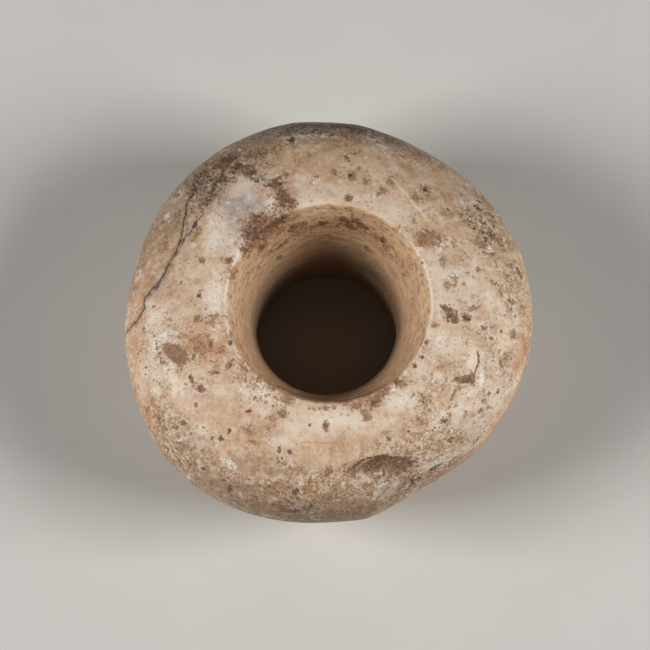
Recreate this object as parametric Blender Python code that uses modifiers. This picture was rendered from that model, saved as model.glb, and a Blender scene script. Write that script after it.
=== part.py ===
"""Perforated stone: a thick round stone with a full, rounded side, drilled through from both faces.

The stone lies on its worn underside. Metres, +Z up; z = 0 is the resting face, and the middle of the
stone's length and width is at x = y = 0. Bearings are degrees about +Z, counted from +X towards +Y.
"""
import math

import bpy
from mathutils import Matrix, Vector

# The round body, before swells and flats
WIDTH = 0.0881
HEIGHT = 0.042  # resting face to the upper edge of the hole, before that edge wore round
GIRTH_HEIGHT = 0.026  # height of the widest section
FULLNESS = 2.4  # exponent of the side's curve: 2 is an ellipse, more is squarer
FOOT_WIDTH = 0.0535  # where the side meets the resting face, before that edge wore round

# The hole: a flaring upper part, a waist, and a nearly even lower part
MOUTH_WIDTH = 0.0433
WAIST_WIDTH = 0.0306
WAIST_HEIGHT = 0.0212
LOWER_BORE_WIDTH = 0.0317
FLARE_CURVE = 1.3  # 1 is a straight cone, more opens mostly near the mouth
BORE_CURVE = 1.6
HOLE_LEAN = 0.00065  # how far the hole's lower half lies to one side
HOLE_LEAN_BEARING = 219.0

# Radii of the worn edges
MOUTH_WEAR = 0.0009
FOOT_WEAR = 0.008
LIP_WEAR = 0.003

# Swells (or, below zero, hollows) of the girth: bearing, spread in degrees, rise in metres
SWELLS = (
    (226.0, 20.0, 0.002),
    (273.0, 9.0, -0.0005),
    (90.0, 25.0, 0.0006),
    (62.0, 19.0, -0.0017),
    (165.0, 12.0, -0.0008),
    (323.0, 13.0, -0.0011),
)

# A side worn nearly straight in plan, which stays round from top to bottom
STRAIGHT_BEARING = -58.5
STRAIGHT_DEPTH = 0.0035
STRAIGHT_BULGE = 0.001  # how full it stays at most

# A flat ground on the shoulder
FLAT_BEARING = 88.0
FLAT_PITCH = 22.0  # in degrees above the level
FLAT_DEPTH = 0.0008
FLAT_BULGE = 0.0003

# A flake scar on the shoulder: its place, its size across, and how it lies
SCAR_BEARING = -72.0
SCAR_RADIUS = 0.0367  # from the middle of the round body
SCAR_LENGTH = 0.0155
SCAR_BREADTH = 0.0054
SCAR_DEPTH = 0.001
SCAR_HEADING = 9.0  # of its length, in degrees from +X
SCAR_TILT = -14.0  # leans the cutter so that the upper edge is the steep one

# Colour and finish of the stone
STONE_COLOUR = (0.50, 0.36, 0.25, 1.0)
STONE_ROUGHNESS = 0.62

# Fineness of the mesh
TURN_STEPS = 72
SIDE_STEPS = 13
FLARE_STEPS = 10
BORE_STEPS = 7
WEAR_STEPS = 5

HALF = WIDTH / 2
MOUTH_RADIUS = MOUTH_WIDTH / 2
WAIST_RADIUS = WAIST_WIDTH / 2


def clear_scene():
    """Removes every object, so that the file can be run again."""
    for item in list(bpy.data.objects):
        bpy.data.objects.remove(item, do_unlink=True)


def new_collection(name):
    collection = bpy.data.collections.new(name)
    bpy.context.scene.collection.children.link(collection)
    return collection


def stone_material():
    material = bpy.data.materials.new("stone")
    material.use_nodes = True
    shader = material.node_tree.nodes["Principled BSDF"]
    shader.inputs["Base Color"].default_value = STONE_COLOUR
    shader.inputs["Roughness"].default_value = STONE_ROUGHNESS
    shader.inputs["Metallic"].default_value = 0.0
    return material


def arch_rise(height, radius):
    """Full rise of a side curve that stands this height from the girth at this radius."""
    return height / (1 - (radius / HALF) ** FULLNESS) ** (1 / FULLNESS)


UPPER_RISE = arch_rise(HEIGHT - GIRTH_HEIGHT, MOUTH_RADIUS)
LOWER_RISE = arch_rise(GIRTH_HEIGHT, FOOT_WIDTH / 2)


def side_curve(rise, end_radius):
    """Points of a superellipse from the girth in to end_radius, as (radius, height from the girth)."""
    end = math.acos((end_radius / HALF) ** (FULLNESS / 2))
    power = 2 / FULLNESS
    angles = [end * step / SIDE_STEPS for step in range(SIDE_STEPS + 1)]
    return [(HALF * math.cos(a) ** power, rise * math.sin(a) ** power) for a in angles]


def hole_radius(z):
    """Radius of the hole at a height, before its edges wore round."""
    if z > WAIST_HEIGHT:
        share = (z - WAIST_HEIGHT) / (HEIGHT - WAIST_HEIGHT)
        return WAIST_RADIUS + (MOUTH_RADIUS - WAIST_RADIUS) * share**FLARE_CURVE
    share = 1 - z / WAIST_HEIGHT
    return WAIST_RADIUS + (LOWER_BORE_WIDTH / 2 - WAIST_RADIUS) * share**BORE_CURVE


def worn(points, corner, radius):
    """Rounds one corner of a closed profile with an arc, which takes the place of the points under it."""
    index = points.index(corner)
    corner = Vector(corner)
    back = (Vector(points[index - 1]) - corner).normalized()
    ahead = (Vector(points[(index + 1) % len(points)]) - corner).normalized()
    half_angle = back.angle(ahead) / 2
    reach = radius / math.tan(half_angle)
    centre = corner + (back + ahead).normalized() * radius / math.sin(half_angle)
    first = corner + back * reach - centre
    last = corner + ahead * reach - centre
    shares = [step / WEAR_STEPS for step in range(WEAR_STEPS + 1)]
    arc = [tuple(centre + first.slerp(last, share).normalized() * radius) for share in shares]

    def clear_of_arc(point):
        return (Vector(point) - corner).length > reach * 1.25

    before = [point for point in points[:index] if clear_of_arc(point)]
    after = [point for point in points[index + 1 :] if clear_of_arc(point)]
    return before + arc + after


def stone_profile():
    """The closed half section: down the outer side, in along the resting face, up through the hole."""
    mouth = (MOUTH_RADIUS, HEIGHT)
    foot = (FOOT_WIDTH / 2, 0.0)
    lip = (LOWER_BORE_WIDTH / 2, 0.0)
    upper = [(r, GIRTH_HEIGHT + rise) for r, rise in side_curve(UPPER_RISE, MOUTH_RADIUS)]
    lower = [(r, GIRTH_HEIGHT - drop) for r, drop in side_curve(LOWER_RISE, FOOT_WIDTH / 2)]
    bore = [WAIST_HEIGHT * step / BORE_STEPS for step in range(1, BORE_STEPS)]
    flare_rise = (HEIGHT - WAIST_HEIGHT) / FLARE_STEPS
    flare = [WAIST_HEIGHT + flare_rise * step for step in range(FLARE_STEPS)]
    wall = [(hole_radius(z), z) for z in bore + flare]
    points = upper[-2:0:-1] + lower[:-1] + [foot, lip] + wall + [mouth]
    points = worn(points, foot, FOOT_WEAR)
    points = worn(points, lip, LIP_WEAR)
    return worn(points, mouth, MOUTH_WEAR)


def turned(name, profile, collection):
    """Turns a closed profile about +Z with a Screw modifier, and returns it as a plain mesh object."""
    mesh = bpy.data.meshes.new(name + "_profile")
    edges = [(i, (i + 1) % len(profile)) for i in range(len(profile))]
    mesh.from_pydata([(r, 0.0, z) for r, z in profile], edges, [])
    outline = bpy.data.objects.new(name + "_profile", mesh)
    collection.objects.link(outline)
    screw = outline.modifiers.new("turn", "SCREW")
    screw.axis = "Z"
    screw.angle = math.tau
    screw.steps = TURN_STEPS
    screw.render_steps = TURN_STEPS
    screw.use_merge_vertices = True
    screw.merge_threshold = 0.00001
    solid = object_from(outline, name, collection)
    bpy.data.objects.remove(outline, do_unlink=True)
    return solid


def object_from(source, name, collection):
    """A new object with the evaluated mesh of another one."""
    graph = bpy.context.evaluated_depsgraph_get()
    mesh = bpy.data.meshes.new_from_object(source.evaluated_get(graph))
    mesh.name = name
    copy = bpy.data.objects.new(name, mesh)
    copy.matrix_world = source.matrix_world
    collection.objects.link(copy)
    return copy


def ease(share):
    """Rises smoothly from 0 to 1."""
    share = min(max(share, 0.0), 1.0)
    return share * share * (3 - 2 * share)


def direction(bearing, pitch):
    turn, lift = math.radians(bearing), math.radians(pitch)
    return Vector((math.cos(turn) * math.cos(lift), math.sin(turn) * math.cos(lift), math.sin(lift)))


def body_reach(pitch):
    """How far the round body reaches from its middle along a direction of this pitch."""
    lift = math.radians(pitch)
    rise = UPPER_RISE if pitch > 0 else LOWER_RISE
    dual = FULLNESS / (FULLNESS - 1)
    across, along = HALF * math.cos(lift), rise * abs(math.sin(lift))
    return (across**dual + along**dual) ** (1 / dual)


def sunk(over, bulge):
    """How far what stands this far over a flat goes down, where the flat keeps a slight bulge."""
    return over - bulge * (1 - math.exp(-over / bulge)) if over > 0 else 0.0


def swell(point):
    """The girth's swells, hollows and straight side, which fade towards the hole."""
    radius = math.hypot(point.x, point.y)
    bearing = math.degrees(math.atan2(point.y, point.x))
    rise = 0.0
    for place, spread, height in SWELLS:
        turn = (bearing - place + 180) % 360 - 180
        rise += height * math.exp(-0.5 * (turn / spread) ** 2)
    outwards = Vector((point.x / radius, point.y / radius, 0.0))
    straight = direction(STRAIGHT_BEARING, 0.0)
    over = (HALF + rise) * outwards.dot(straight) - (HALF - STRAIGHT_DEPTH)
    fade = ease((radius - MOUTH_RADIUS) / (HALF - MOUTH_RADIUS))
    return (outwards * rise - straight * sunk(over, STRAIGHT_BULGE)) * fade


def ground(point):
    """The point after the flat on the shoulder is ground."""
    normal = direction(FLAT_BEARING, FLAT_PITCH)
    middle = Vector((0.0, 0.0, GIRTH_HEIGHT))
    over = (point - middle).dot(normal) - (body_reach(FLAT_PITCH) - FLAT_DEPTH)
    return point - normal * sunk(over, FLAT_BULGE)


def lean(point):
    """The drilled hole's slight lean, which fades out before the side."""
    radius = math.hypot(point.x, point.y)
    fade = 1 - ease((radius - LOWER_BORE_WIDTH / 2) / (MOUTH_RADIUS - LOWER_BORE_WIDTH / 2))
    depth = ease(1 - (point.z - WAIST_HEIGHT) / (HEIGHT - WAIST_HEIGHT))
    return direction(HOLE_LEAN_BEARING, 0.0) * HOLE_LEAN * depth * fade


def shape_by_hand(mesh):
    for vertex in mesh.vertices:
        vertex.co = ground(vertex.co + swell(vertex.co) + lean(vertex.co))


def scar_place():
    """The scar's middle, and the pitch of the surface there."""
    share = (SCAR_RADIUS / HALF) ** FULLNESS
    height = GIRTH_HEIGHT + UPPER_RISE * (1 - share) ** (1 / FULLNESS)
    slope = UPPER_RISE / HALF * (SCAR_RADIUS / HALF) ** (FULLNESS - 1)
    slope *= (1 - share) ** (1 / FULLNESS - 1)
    place = direction(SCAR_BEARING, 0.0) * SCAR_RADIUS + Vector((0.0, 0.0, height))
    return place + swell(place), math.degrees(math.atan2(1.0, slope))


def scar_cutter(collection):
    """An ellipsoid that sinks SCAR_DEPTH into the shoulder, as long and as broad there as the scar."""
    place, pitch = scar_place()
    normal = direction(SCAR_BEARING, pitch + SCAR_TILT)
    along = direction(SCAR_HEADING, 0.0)
    along = (along - normal * along.dot(normal)).normalized()
    across = normal.cross(along)
    thickness = SCAR_DEPTH * 3
    spread = math.sqrt(1 - (1 - SCAR_DEPTH / thickness) ** 2)
    half_sizes = (SCAR_LENGTH / 2 / spread, SCAR_BREADTH / 2 / spread, thickness)
    bpy.ops.mesh.primitive_uv_sphere_add(segments=40, ring_count=24, radius=1.0)
    cutter = bpy.context.object
    cutter.name = "scar_cutter"
    turn = Matrix((along, across, normal)).transposed().to_4x4()
    middle = place + direction(SCAR_BEARING, pitch) * (thickness - SCAR_DEPTH)
    cutter.data.transform(Matrix.Translation(middle) @ turn @ Matrix.Diagonal((*half_sizes, 1.0)))
    for holder in list(cutter.users_collection):
        holder.objects.unlink(cutter)
    collection.objects.link(cutter)
    cutter.hide_render = True
    cutter.display_type = "WIRE"
    return cutter


def cut(target, cutter, collection):
    """The target with the cutter's shape taken away, as a new plain mesh object."""
    boolean = target.modifiers.new("cut", "BOOLEAN")
    boolean.operation = "DIFFERENCE"
    boolean.solver = "EXACT"
    boolean.object = cutter
    name = target.name
    result = object_from(target, name + "_cut", collection)
    bpy.data.objects.remove(target, do_unlink=True)
    result.name = name
    return result


def centre_over_origin(stone):
    """Moves the mesh so that the middle of its length and width is over the origin."""
    xs = [vertex.co.x for vertex in stone.data.vertices]
    ys = [vertex.co.y for vertex in stone.data.vertices]
    shift = Vector((-(min(xs) + max(xs)) / 2, -(min(ys) + max(ys)) / 2, 0.0))
    stone.data.transform(Matrix.Translation(shift))


def build():
    clear_scene()
    parts = new_collection("perforated_stone_parts")
    cutters = new_collection("cutters")
    body = turned("perforated_stone", stone_profile(), parts)
    shape_by_hand(body.data)
    stone = cut(body, scar_cutter(cutters), parts)
    centre_over_origin(stone)
    stone.data.materials.clear()
    stone.data.materials.append(stone_material())
    stone.data.shade_smooth()
    stone.data.set_sharp_from_angle(angle=math.radians(40))
    return stone


build()
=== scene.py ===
# %% [markdown]
# # A ground and drilled stone
# The object is one thick, round, pale stone that was ground smooth by hand and drilled through from both
# faces. It then wore, cracked, chipped and took up brown stains for a very long time. The frame holds the
# stone as a plain solid of the right size. This notebook makes the skin that is seen: the same form as a
# fine mesh with its scars, pits and crack pressed into it, and a material whose colours follow them.

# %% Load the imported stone
import itertools
import math

import bpy
import numpy as np
from mathutils import Matrix, Vector
from mathutils.bvhtree import BVHTree


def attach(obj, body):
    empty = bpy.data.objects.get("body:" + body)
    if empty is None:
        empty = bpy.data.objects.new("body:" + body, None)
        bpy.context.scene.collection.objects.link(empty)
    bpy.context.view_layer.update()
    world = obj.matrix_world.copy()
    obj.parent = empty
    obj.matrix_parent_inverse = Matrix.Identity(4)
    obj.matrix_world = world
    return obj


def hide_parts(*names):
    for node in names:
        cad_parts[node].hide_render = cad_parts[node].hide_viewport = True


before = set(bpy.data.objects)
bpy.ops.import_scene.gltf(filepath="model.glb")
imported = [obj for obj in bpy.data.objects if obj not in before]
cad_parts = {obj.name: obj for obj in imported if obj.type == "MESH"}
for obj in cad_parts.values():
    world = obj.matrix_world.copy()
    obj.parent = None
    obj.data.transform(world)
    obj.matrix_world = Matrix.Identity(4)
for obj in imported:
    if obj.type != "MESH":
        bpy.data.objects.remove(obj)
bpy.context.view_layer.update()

NODE = "perforated_stone"
cad_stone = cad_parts[NODE]

# %% [markdown]
# ## The camera
# The photograph looks down on the stone, a little off the axis of its hole, from well away: a long lens
# keeps the far and near sides almost the same size. The camera comes first because the marks on the stone
# are placed through it. Each is named by the pixel where it shows, and a ray from the camera through that
# pixel finds its place on the stone. That is surer than guessing three coordinates for every stain.
# Lengths are in millimetres up to the moment a mesh is made, because they are easier to read that way.

# %% Set up the camera
MM = 0.001
FRAME_PIXELS = 650
SENSOR_WIDTH = 36.0
CAMERA_TILT = 13.0  # degrees away from straight down
CAMERA_DISTANCE = 800.0
FOCAL_PIXELS = 3691.2
STONE_MIDDLE = Vector((0.0, 0.0, 24.0))
MIDDLE_PIXEL = (328.71, 321.12)  # where the stone's middle shows
CLIP = (0.05, 20.0)  # the nearest and furthest that shows, in metres

tilt = math.radians(CAMERA_TILT)
view_right = Vector((1.0, 0.0, 0.0))
view_up = Vector((0.0, math.cos(tilt), math.sin(tilt)))
view_back = Vector((0.0, -math.sin(tilt), math.cos(tilt)))
mm_per_pixel = CAMERA_DISTANCE / FOCAL_PIXELS
eye = STONE_MIDDLE + view_back * CAMERA_DISTANCE
eye -= view_right * (MIDDLE_PIXEL[0] - FRAME_PIXELS / 2) * mm_per_pixel
eye += view_up * (MIDDLE_PIXEL[1] - FRAME_PIXELS / 2) * mm_per_pixel


def make_camera():
    data = bpy.data.cameras.new("camera")
    data.sensor_width = SENSOR_WIDTH
    data.lens = SENSOR_WIDTH * FOCAL_PIXELS / FRAME_PIXELS
    data.clip_start, data.clip_end = CLIP
    camera = bpy.data.objects.new("camera", data)
    facing = Matrix((view_right, view_up, view_back)).transposed()
    camera.matrix_world = Matrix.Translation(eye * MM) @ facing.to_4x4()
    bpy.context.scene.collection.objects.link(camera)
    bpy.context.scene.camera = camera
    return camera


camera = make_camera()
print("lens", round(camera.data.lens, 1), "mm,", round(1 / mm_per_pixel, 2), "pixels to a millimetre")

# %% [markdown]
# ## The half section
# A ground stone is close to a turned shape, so its form starts as a half section: down the rounded side,
# in along the worn ring that it rests on, and up through the hole, which narrows to a waist. The side is a
# superellipse, a curve between an ellipse and a rectangle that suits a full, hand-ground side. These are
# the CAD's own sizes and its own few points. A smooth curve through them gives as many as the fine mesh
# needs.

# %% Sizes of the section
HALF = 88.1 / 2
HEIGHT = 42.0
GIRTH_HEIGHT = 26.0
FULLNESS = 2.4
FOOT_RADIUS = 53.5 / 2
MOUTH_RADIUS = 43.3 / 2
WAIST_RADIUS = 30.6 / 2
WAIST_HEIGHT = 21.2
LOWER_RADIUS = 31.7 / 2
FLARE_CURVE = 1.3
BORE_CURVE = 1.6
MOUTH_WEAR = 0.9
FOOT_WEAR = 8.0
LIP_WEAR = 3.0
SIDE_STEPS = 13
FLARE_STEPS = 10
BORE_STEPS = 7
WEAR_STEPS = 5
CLEARANCE = 1.25  # points nearer a worn corner than this, in reaches of its arc, are left out


def arch_rise(height, radius):
    return height / (1 - (radius / HALF) ** FULLNESS) ** (1 / FULLNESS)


UPPER_RISE = arch_rise(HEIGHT - GIRTH_HEIGHT, MOUTH_RADIUS)
LOWER_RISE = arch_rise(GIRTH_HEIGHT, FOOT_RADIUS)


def side_curve(rise, end_radius):
    """Points of the side from the girth in to a radius, as (radius, height from the girth)."""
    end = math.acos((end_radius / HALF) ** (FULLNESS / 2))
    angles = [end * step / SIDE_STEPS for step in range(SIDE_STEPS + 1)]
    return [(HALF * math.cos(a) ** (2 / FULLNESS), rise * math.sin(a) ** (2 / FULLNESS)) for a in angles]


def hole_radius(z):
    if z > WAIST_HEIGHT:
        share = (z - WAIST_HEIGHT) / (HEIGHT - WAIST_HEIGHT)
        return WAIST_RADIUS + (MOUTH_RADIUS - WAIST_RADIUS) * share**FLARE_CURVE
    return WAIST_RADIUS + (LOWER_RADIUS - WAIST_RADIUS) * (1 - z / WAIST_HEIGHT) ** BORE_CURVE


def worn(points, corner, radius):
    """Rounds one corner of the section with an arc."""
    index = points.index(corner)
    corner = Vector(corner)
    back = (Vector(points[index - 1]) - corner).normalized()
    ahead = (Vector(points[(index + 1) % len(points)]) - corner).normalized()
    half_angle = back.angle(ahead) / 2
    reach = radius / math.tan(half_angle)
    centre = corner + (back + ahead).normalized() * radius / math.sin(half_angle)
    first = corner + back * reach - centre
    last = corner + ahead * reach - centre
    shares = [step / WEAR_STEPS for step in range(WEAR_STEPS + 1)]
    arc = [tuple(centre + first.slerp(last, share).normalized() * radius) for share in shares]
    before = [p for p in points[:index] if (Vector(p) - corner).length > reach * CLEARANCE]
    after = [p for p in points[index + 1 :] if (Vector(p) - corner).length > reach * CLEARANCE]
    return before + arc + after


def section():
    mouth, foot, lip = (MOUTH_RADIUS, HEIGHT), (FOOT_RADIUS, 0.0), (LOWER_RADIUS, 0.0)
    upper = [(r, GIRTH_HEIGHT + rise) for r, rise in side_curve(UPPER_RISE, MOUTH_RADIUS)]
    lower = [(r, GIRTH_HEIGHT - drop) for r, drop in side_curve(LOWER_RISE, FOOT_RADIUS)]
    bore = [WAIST_HEIGHT * step / BORE_STEPS for step in range(1, BORE_STEPS)]
    flare = [WAIST_HEIGHT + (HEIGHT - WAIST_HEIGHT) * step / FLARE_STEPS for step in range(FLARE_STEPS)]
    wall = [(hole_radius(z), z) for z in bore + flare]
    points = upper[-2:0:-1] + lower[:-1] + [foot, lip] + wall + [mouth]
    return worn(worn(worn(points, foot, FOOT_WEAR), lip, LIP_WEAR), mouth, MOUTH_WEAR)


section_points = np.array(section())
print(len(section_points), "points in the half section")

# %% [markdown]
# ## Rows and columns
# The skin is a net of rows, which run round the stone, and columns, which run round its section. The rows
# lie closer together on the upper side, where the photograph shows every pit, and further apart below.
# The curve between the section's points is a Catmull-Rom spline: it passes through each of them and stays
# smooth, so the fine net keeps the CAD's form.

# %% Space the rows along the section
COLUMNS, ROWS = ((1240, 520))
SEEN_HEIGHT = 22.0  # above this the rows lie closer
SEEN_CLOSENESS = 1.7
CURVE_STEPS = 60


def smooth_loop(points, steps):
    """Points of a closed Catmull-Rom curve through the given ones, with this many steps between two."""
    before, after, beyond = np.roll(points, 1, 0), np.roll(points, -1, 0), np.roll(points, -2, 0)

    def span(a, b):
        return np.linalg.norm(b - a, axis=1, keepdims=True)

    def slope(a, b, c):
        left, right = span(a, b), span(b, c)
        return ((b - a) / left * right + (c - b) / right * left) / (left + right)

    length = span(points, after)
    leave, arrive = slope(before, points, after) * length, slope(points, after, beyond) * length
    t = (np.arange(steps) / steps)[None, :, None]
    curve = (
        points[:, None] * (2 * t**3 - 3 * t**2 + 1)
        + leave[:, None] * (t**3 - 2 * t**2 + t)
        + after[:, None] * (3 * t**2 - 2 * t**3)
        + arrive[:, None] * (t**3 - t**2)
    )
    return curve.reshape(-1, points.shape[1])


def spaced_rows(points):
    """The rows as (radius, height), and how far along the section each lies from the mouth's edge."""
    curve = smooth_loop(points, CURVE_STEPS)
    steps = np.linalg.norm(np.roll(curve, -1, 0) - curve, axis=1)
    weights = steps * np.where(curve[:, 1] > SEEN_HEIGHT, SEEN_CLOSENESS, 1.0)
    along = np.concatenate([[0.0], np.cumsum(steps)])
    share = np.concatenate([[0.0], np.cumsum(weights)]) / weights.sum()
    closed = np.concatenate([curve, curve[:1]])
    wanted = np.arange(ROWS) / ROWS
    rows = np.stack([np.interp(wanted, share, closed[:, k]) for k in (0, 1)], 1)
    length = np.interp(wanted, share, along)
    top = along[:-1][np.argmin(np.hypot(curve[:, 0] - MOUTH_RADIUS, curve[:, 1] - HEIGHT))]
    from_mouth = (length - top + along[-1] / 2) % along[-1] - along[-1] / 2
    return rows, from_mouth


rows, from_mouth = spaced_rows(section_points)
row_gap = np.linalg.norm(np.roll(rows, -1, 0) - rows, axis=1)
print("rows", round(row_gap.min(), 2), "to", round(row_gap.max(), 2), "mm apart")

# %% [markdown]
# ## From a turned shape to this stone
# No hand-ground stone is truly round. This one swells at the lower left, is a little flat at the upper
# right and behind, and is worn nearly straight at the lower right. The swells are smooth bumps in the
# radius. The straight side is a line in plan that the girth doesn't pass, so it stays round from top to
# bottom. The flat behind is a plane, kept very slightly full so that it looks ground and not sawn. The
# hole leans a little. These are again the CAD's own values and formulas, worked out for all points at once
# with arrays.

# %% Shape the net
SWELLS = (  # bearing, spread in degrees, rise
    (226.0, 20.0, 2.0),
    (273.0, 9.0, -0.5),
    (90.0, 25.0, 0.6),
    (62.0, 19.0, -1.7),
    (165.0, 12.0, -0.8),
    (323.0, 13.0, -1.1),
)
STRAIGHT_SIDE = (-58.5, 3.5, 1.0)  # bearing, depth, bulge
BACK_FLAT = (88.0, 22.0, 0.8, 0.3)  # bearing, pitch, depth, bulge
HOLE_LEAN = 0.65
HOLE_LEAN_BEARING = 219.0
SAMPLE_LINES = 60  # columns and rows that are compared with the CAD


def ease(share):
    """Rises smoothly from 0 to 1."""
    share = np.clip(share, 0.0, 1.0)
    return share * share * (3 - 2 * share)


def direction(bearing, pitch=0.0):
    turn, lift = math.radians(bearing), math.radians(pitch)
    return np.array([math.cos(turn) * math.cos(lift), math.sin(turn) * math.cos(lift), math.sin(lift)])


def sunk_in(over, bulge):
    """How far what stands this far over a flat goes down, where the flat keeps a slight bulge."""
    over = np.maximum(over, 0.0)
    return over - bulge * (1 - np.exp(-over / bulge))


def swollen(points):
    """The points after the swells and the straight side, and how far that side has gone in."""
    radius = np.hypot(points[..., 0], points[..., 1])
    bearing = np.degrees(np.arctan2(points[..., 1], points[..., 0]))
    turns = [(bearing - place + 180) % 360 - 180 for place, _, _ in SWELLS]
    rise = sum(h * np.exp(-0.5 * (turn / spread) ** 2) for turn, (_, spread, h) in zip(turns, SWELLS))
    outwards = np.stack([points[..., 0] / radius, points[..., 1] / radius, np.zeros_like(radius)], -1)
    place, depth, bulge = STRAIGHT_SIDE
    gone = sunk_in((HALF + rise) * (outwards @ direction(place)) - (HALF - depth), bulge)
    fade = ease((radius - MOUTH_RADIUS) / (HALF - MOUTH_RADIUS))
    risen = points + outwards * (rise * fade)[..., None]
    return risen - direction(place) * (gone * fade)[..., None], gone * fade


def leaning(points):
    radius = np.hypot(points[..., 0], points[..., 1])
    fade = 1 - ease((radius - LOWER_RADIUS) / (MOUTH_RADIUS - LOWER_RADIUS))
    depth = ease(1 - (points[..., 2] - WAIST_HEIGHT) / (HEIGHT - WAIST_HEIGHT))
    return (HOLE_LEAN * depth * fade)[..., None] * direction(HOLE_LEAN_BEARING)


def flattened(points, flat):
    """The points after a flat is ground off them, and how deep below the old side each now lies."""
    bearing, pitch, depth, bulge = flat
    lift = math.radians(pitch)
    rise = UPPER_RISE if pitch > 0 else LOWER_RISE
    dual = FULLNESS / (FULLNESS - 1)
    reach = ((HALF * math.cos(lift)) ** dual + (rise * abs(math.sin(lift))) ** dual) ** (1 / dual)
    normal = direction(bearing, pitch)
    sunk = sunk_in((points - [0, 0, GIRTH_HEIGHT]) @ normal - (reach - depth), bulge)
    return points - sunk[..., None] * normal, sunk


bearings = np.arange(COLUMNS) / COLUMNS * math.tau
turned = np.stack(
    [
        np.outer(np.cos(bearings), rows[:, 0]),
        np.outer(np.sin(bearings), rows[:, 0]),
        np.tile(rows[:, 1], (COLUMNS, 1)),
    ],
    -1,
)
skin, straight_depth = swollen(turned)
skin, back_depth = flattened(skin + leaning(turned), BACK_FLAT)
centre_shift = np.array([*(skin[..., :2].max((0, 1)) + skin[..., :2].min((0, 1))) / 2, 0.0])
skin -= centre_shift


def outward_of(net):
    """Unit normals of a net whose columns run round the stone and whose rows run round its section."""
    around = np.roll(net, -1, 0) - np.roll(net, 1, 0)
    across = np.roll(net, -1, 1) - np.roll(net, 1, 1)
    normal = np.cross(across, around)
    return normal / np.linalg.norm(normal, axis=-1, keepdims=True)


outward = outward_of(skin)
cad_points = [v.co / MM for v in cad_stone.data.vertices]
cad_tree = BVHTree.FromPolygons(cad_points, [p.vertices[:] for p in cad_stone.data.polygons])
sample = skin[:: COLUMNS // SAMPLE_LINES, :: ROWS // SAMPLE_LINES].reshape(-1, 3)
gaps = [cad_tree.find_nearest(Vector(p))[3] for p in sample]
print("the net lies", round(max(gaps), 2), "mm from the CAD stone at most, where the scar is still uncut")

# %% [markdown]
# ## Unevenness
# Stone has no smooth, regular surface at any scale. Layers of soft random lumps, from hand-sized waves down
# to grain, are what makes a computer's surface look like matter. Blender's own noise could be called point
# by point, but with over half a million points it is quicker to look the values up in a small table of
# random numbers and to blend between them, for all the points at once.

# %% Random lumps
NOISE_CELLS = 40
NOISE_RANGE = 1.4
RUFFLES = ((2.6, 11), (1.2, 12), (0.6, 13), (0.37, 14))  # size in mm and seed
TURNED_GRID = np.array(Matrix.Rotation(0.7, 3, Vector((1.0, 2.0, 3.0)).normalized()))
HOLE_BLEND = 0.6  # mm over which the hole's finish starts at the mouth's edge
HOLE_FOOT = (0.5, 2.0)  # the height where it starts above the floor, and how wide it fades in
EDGE_SPARE = 0.5  # how far outside the mouth's radius it may still reach


def lumps(points, size, seed):
    """Smooth random values from about -1 to 1, with lumps of about this size."""
    chance = np.random.default_rng(seed)
    table = chance.uniform(-NOISE_RANGE, NOISE_RANGE, (NOISE_CELLS,) * 3).astype(np.float32)
    place = (points @ TURNED_GRID / size).astype(np.float32)
    corner = np.floor(place).astype(np.int32)
    share = place - corner
    share = share * share * (3 - 2 * share)
    total = np.zeros(points.shape[:-1], np.float32)
    for step in itertools.product((0, 1), repeat=3):
        near = [share[..., k] if step[k] else 1 - share[..., k] for k in range(3)]
        index = [(corner[..., k] + step[k]) % NOISE_CELLS for k in range(3)]
        total += near[0] * near[1] * near[2] * table[index[0], index[1], index[2]]
    return total


def growing(value, start, width):
    """0 where a value is below its start, and 1 where it is well past it."""
    return ease((value - start) / width)


ruffle_coarse, ruffle_medium, ruffle_fine, ruffle_tiny = (lumps(skin, *ruffle) for ruffle in RUFFLES)
in_hole = ease(0.5 - from_mouth / HOLE_BLEND) * growing(rows[:, 1], *HOLE_FOOT)
in_hole = np.tile(in_hole * (rows[:, 0] < MOUTH_RADIUS + EDGE_SPARE), (COLUMNS, 1))
print("the lumps spread by", round(float(ruffle_medium.std()), 2))
print(round(100 * float(in_hole.mean())), "% of the net is in the hole")

# %% [markdown]
# ## Finding places on the net
# A mark can be named by a pixel, or by a bearing and a row for the sides that the photograph doesn't show.
# Either way it needs only the part of the net near it, and a window of columns and rows finds that quickly.

# %% Rays and windows
INWARD_STEPS = 200  # from a pixel to the stone's middle
MOST_STEPS = 60
LONGEST_AXIS = 1.2  # of a mark on a slope, as a share of its size on the picture
LEAST_RADIUS = 10.0
SPARE_LINES = 2  # rows and columns round a window
CLOSER_ROWS = 0.8  # more rows for each mm, where they lie closer than the middle's
RIM_LEFT = (226, 320)  # a pixel on the left of the mouth's edge


def ray(pixel):
    across, down = pixel[0] - FRAME_PIXELS / 2, pixel[1] - FRAME_PIXELS / 2
    return (view_right * across - view_up * down - view_back * FOCAL_PIXELS).normalized()


def on_stone(pixel):
    """The point of the stone under a pixel, or under the first one further in, and its normal."""
    for step in range(MOST_STEPS):
        share = step / INWARD_STEPS
        nearer = [p + (middle - p) * share for p, middle in zip(pixel, MIDDLE_PIXEL)]
        place, normal, _, _ = cad_tree.ray_cast(eye, ray(nearer))
        if place is not None:
            return np.array(place), np.array(normal)
    raise ValueError(f"pixel {pixel} misses the stone")


def on_plane(pixel, place, normal):
    """Where the ray through a pixel meets the plane that touches the stone at a place."""
    way = np.array(ray(pixel))
    start = np.array(eye)
    return start + way * ((place - start) @ normal) / (way @ normal)


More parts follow.
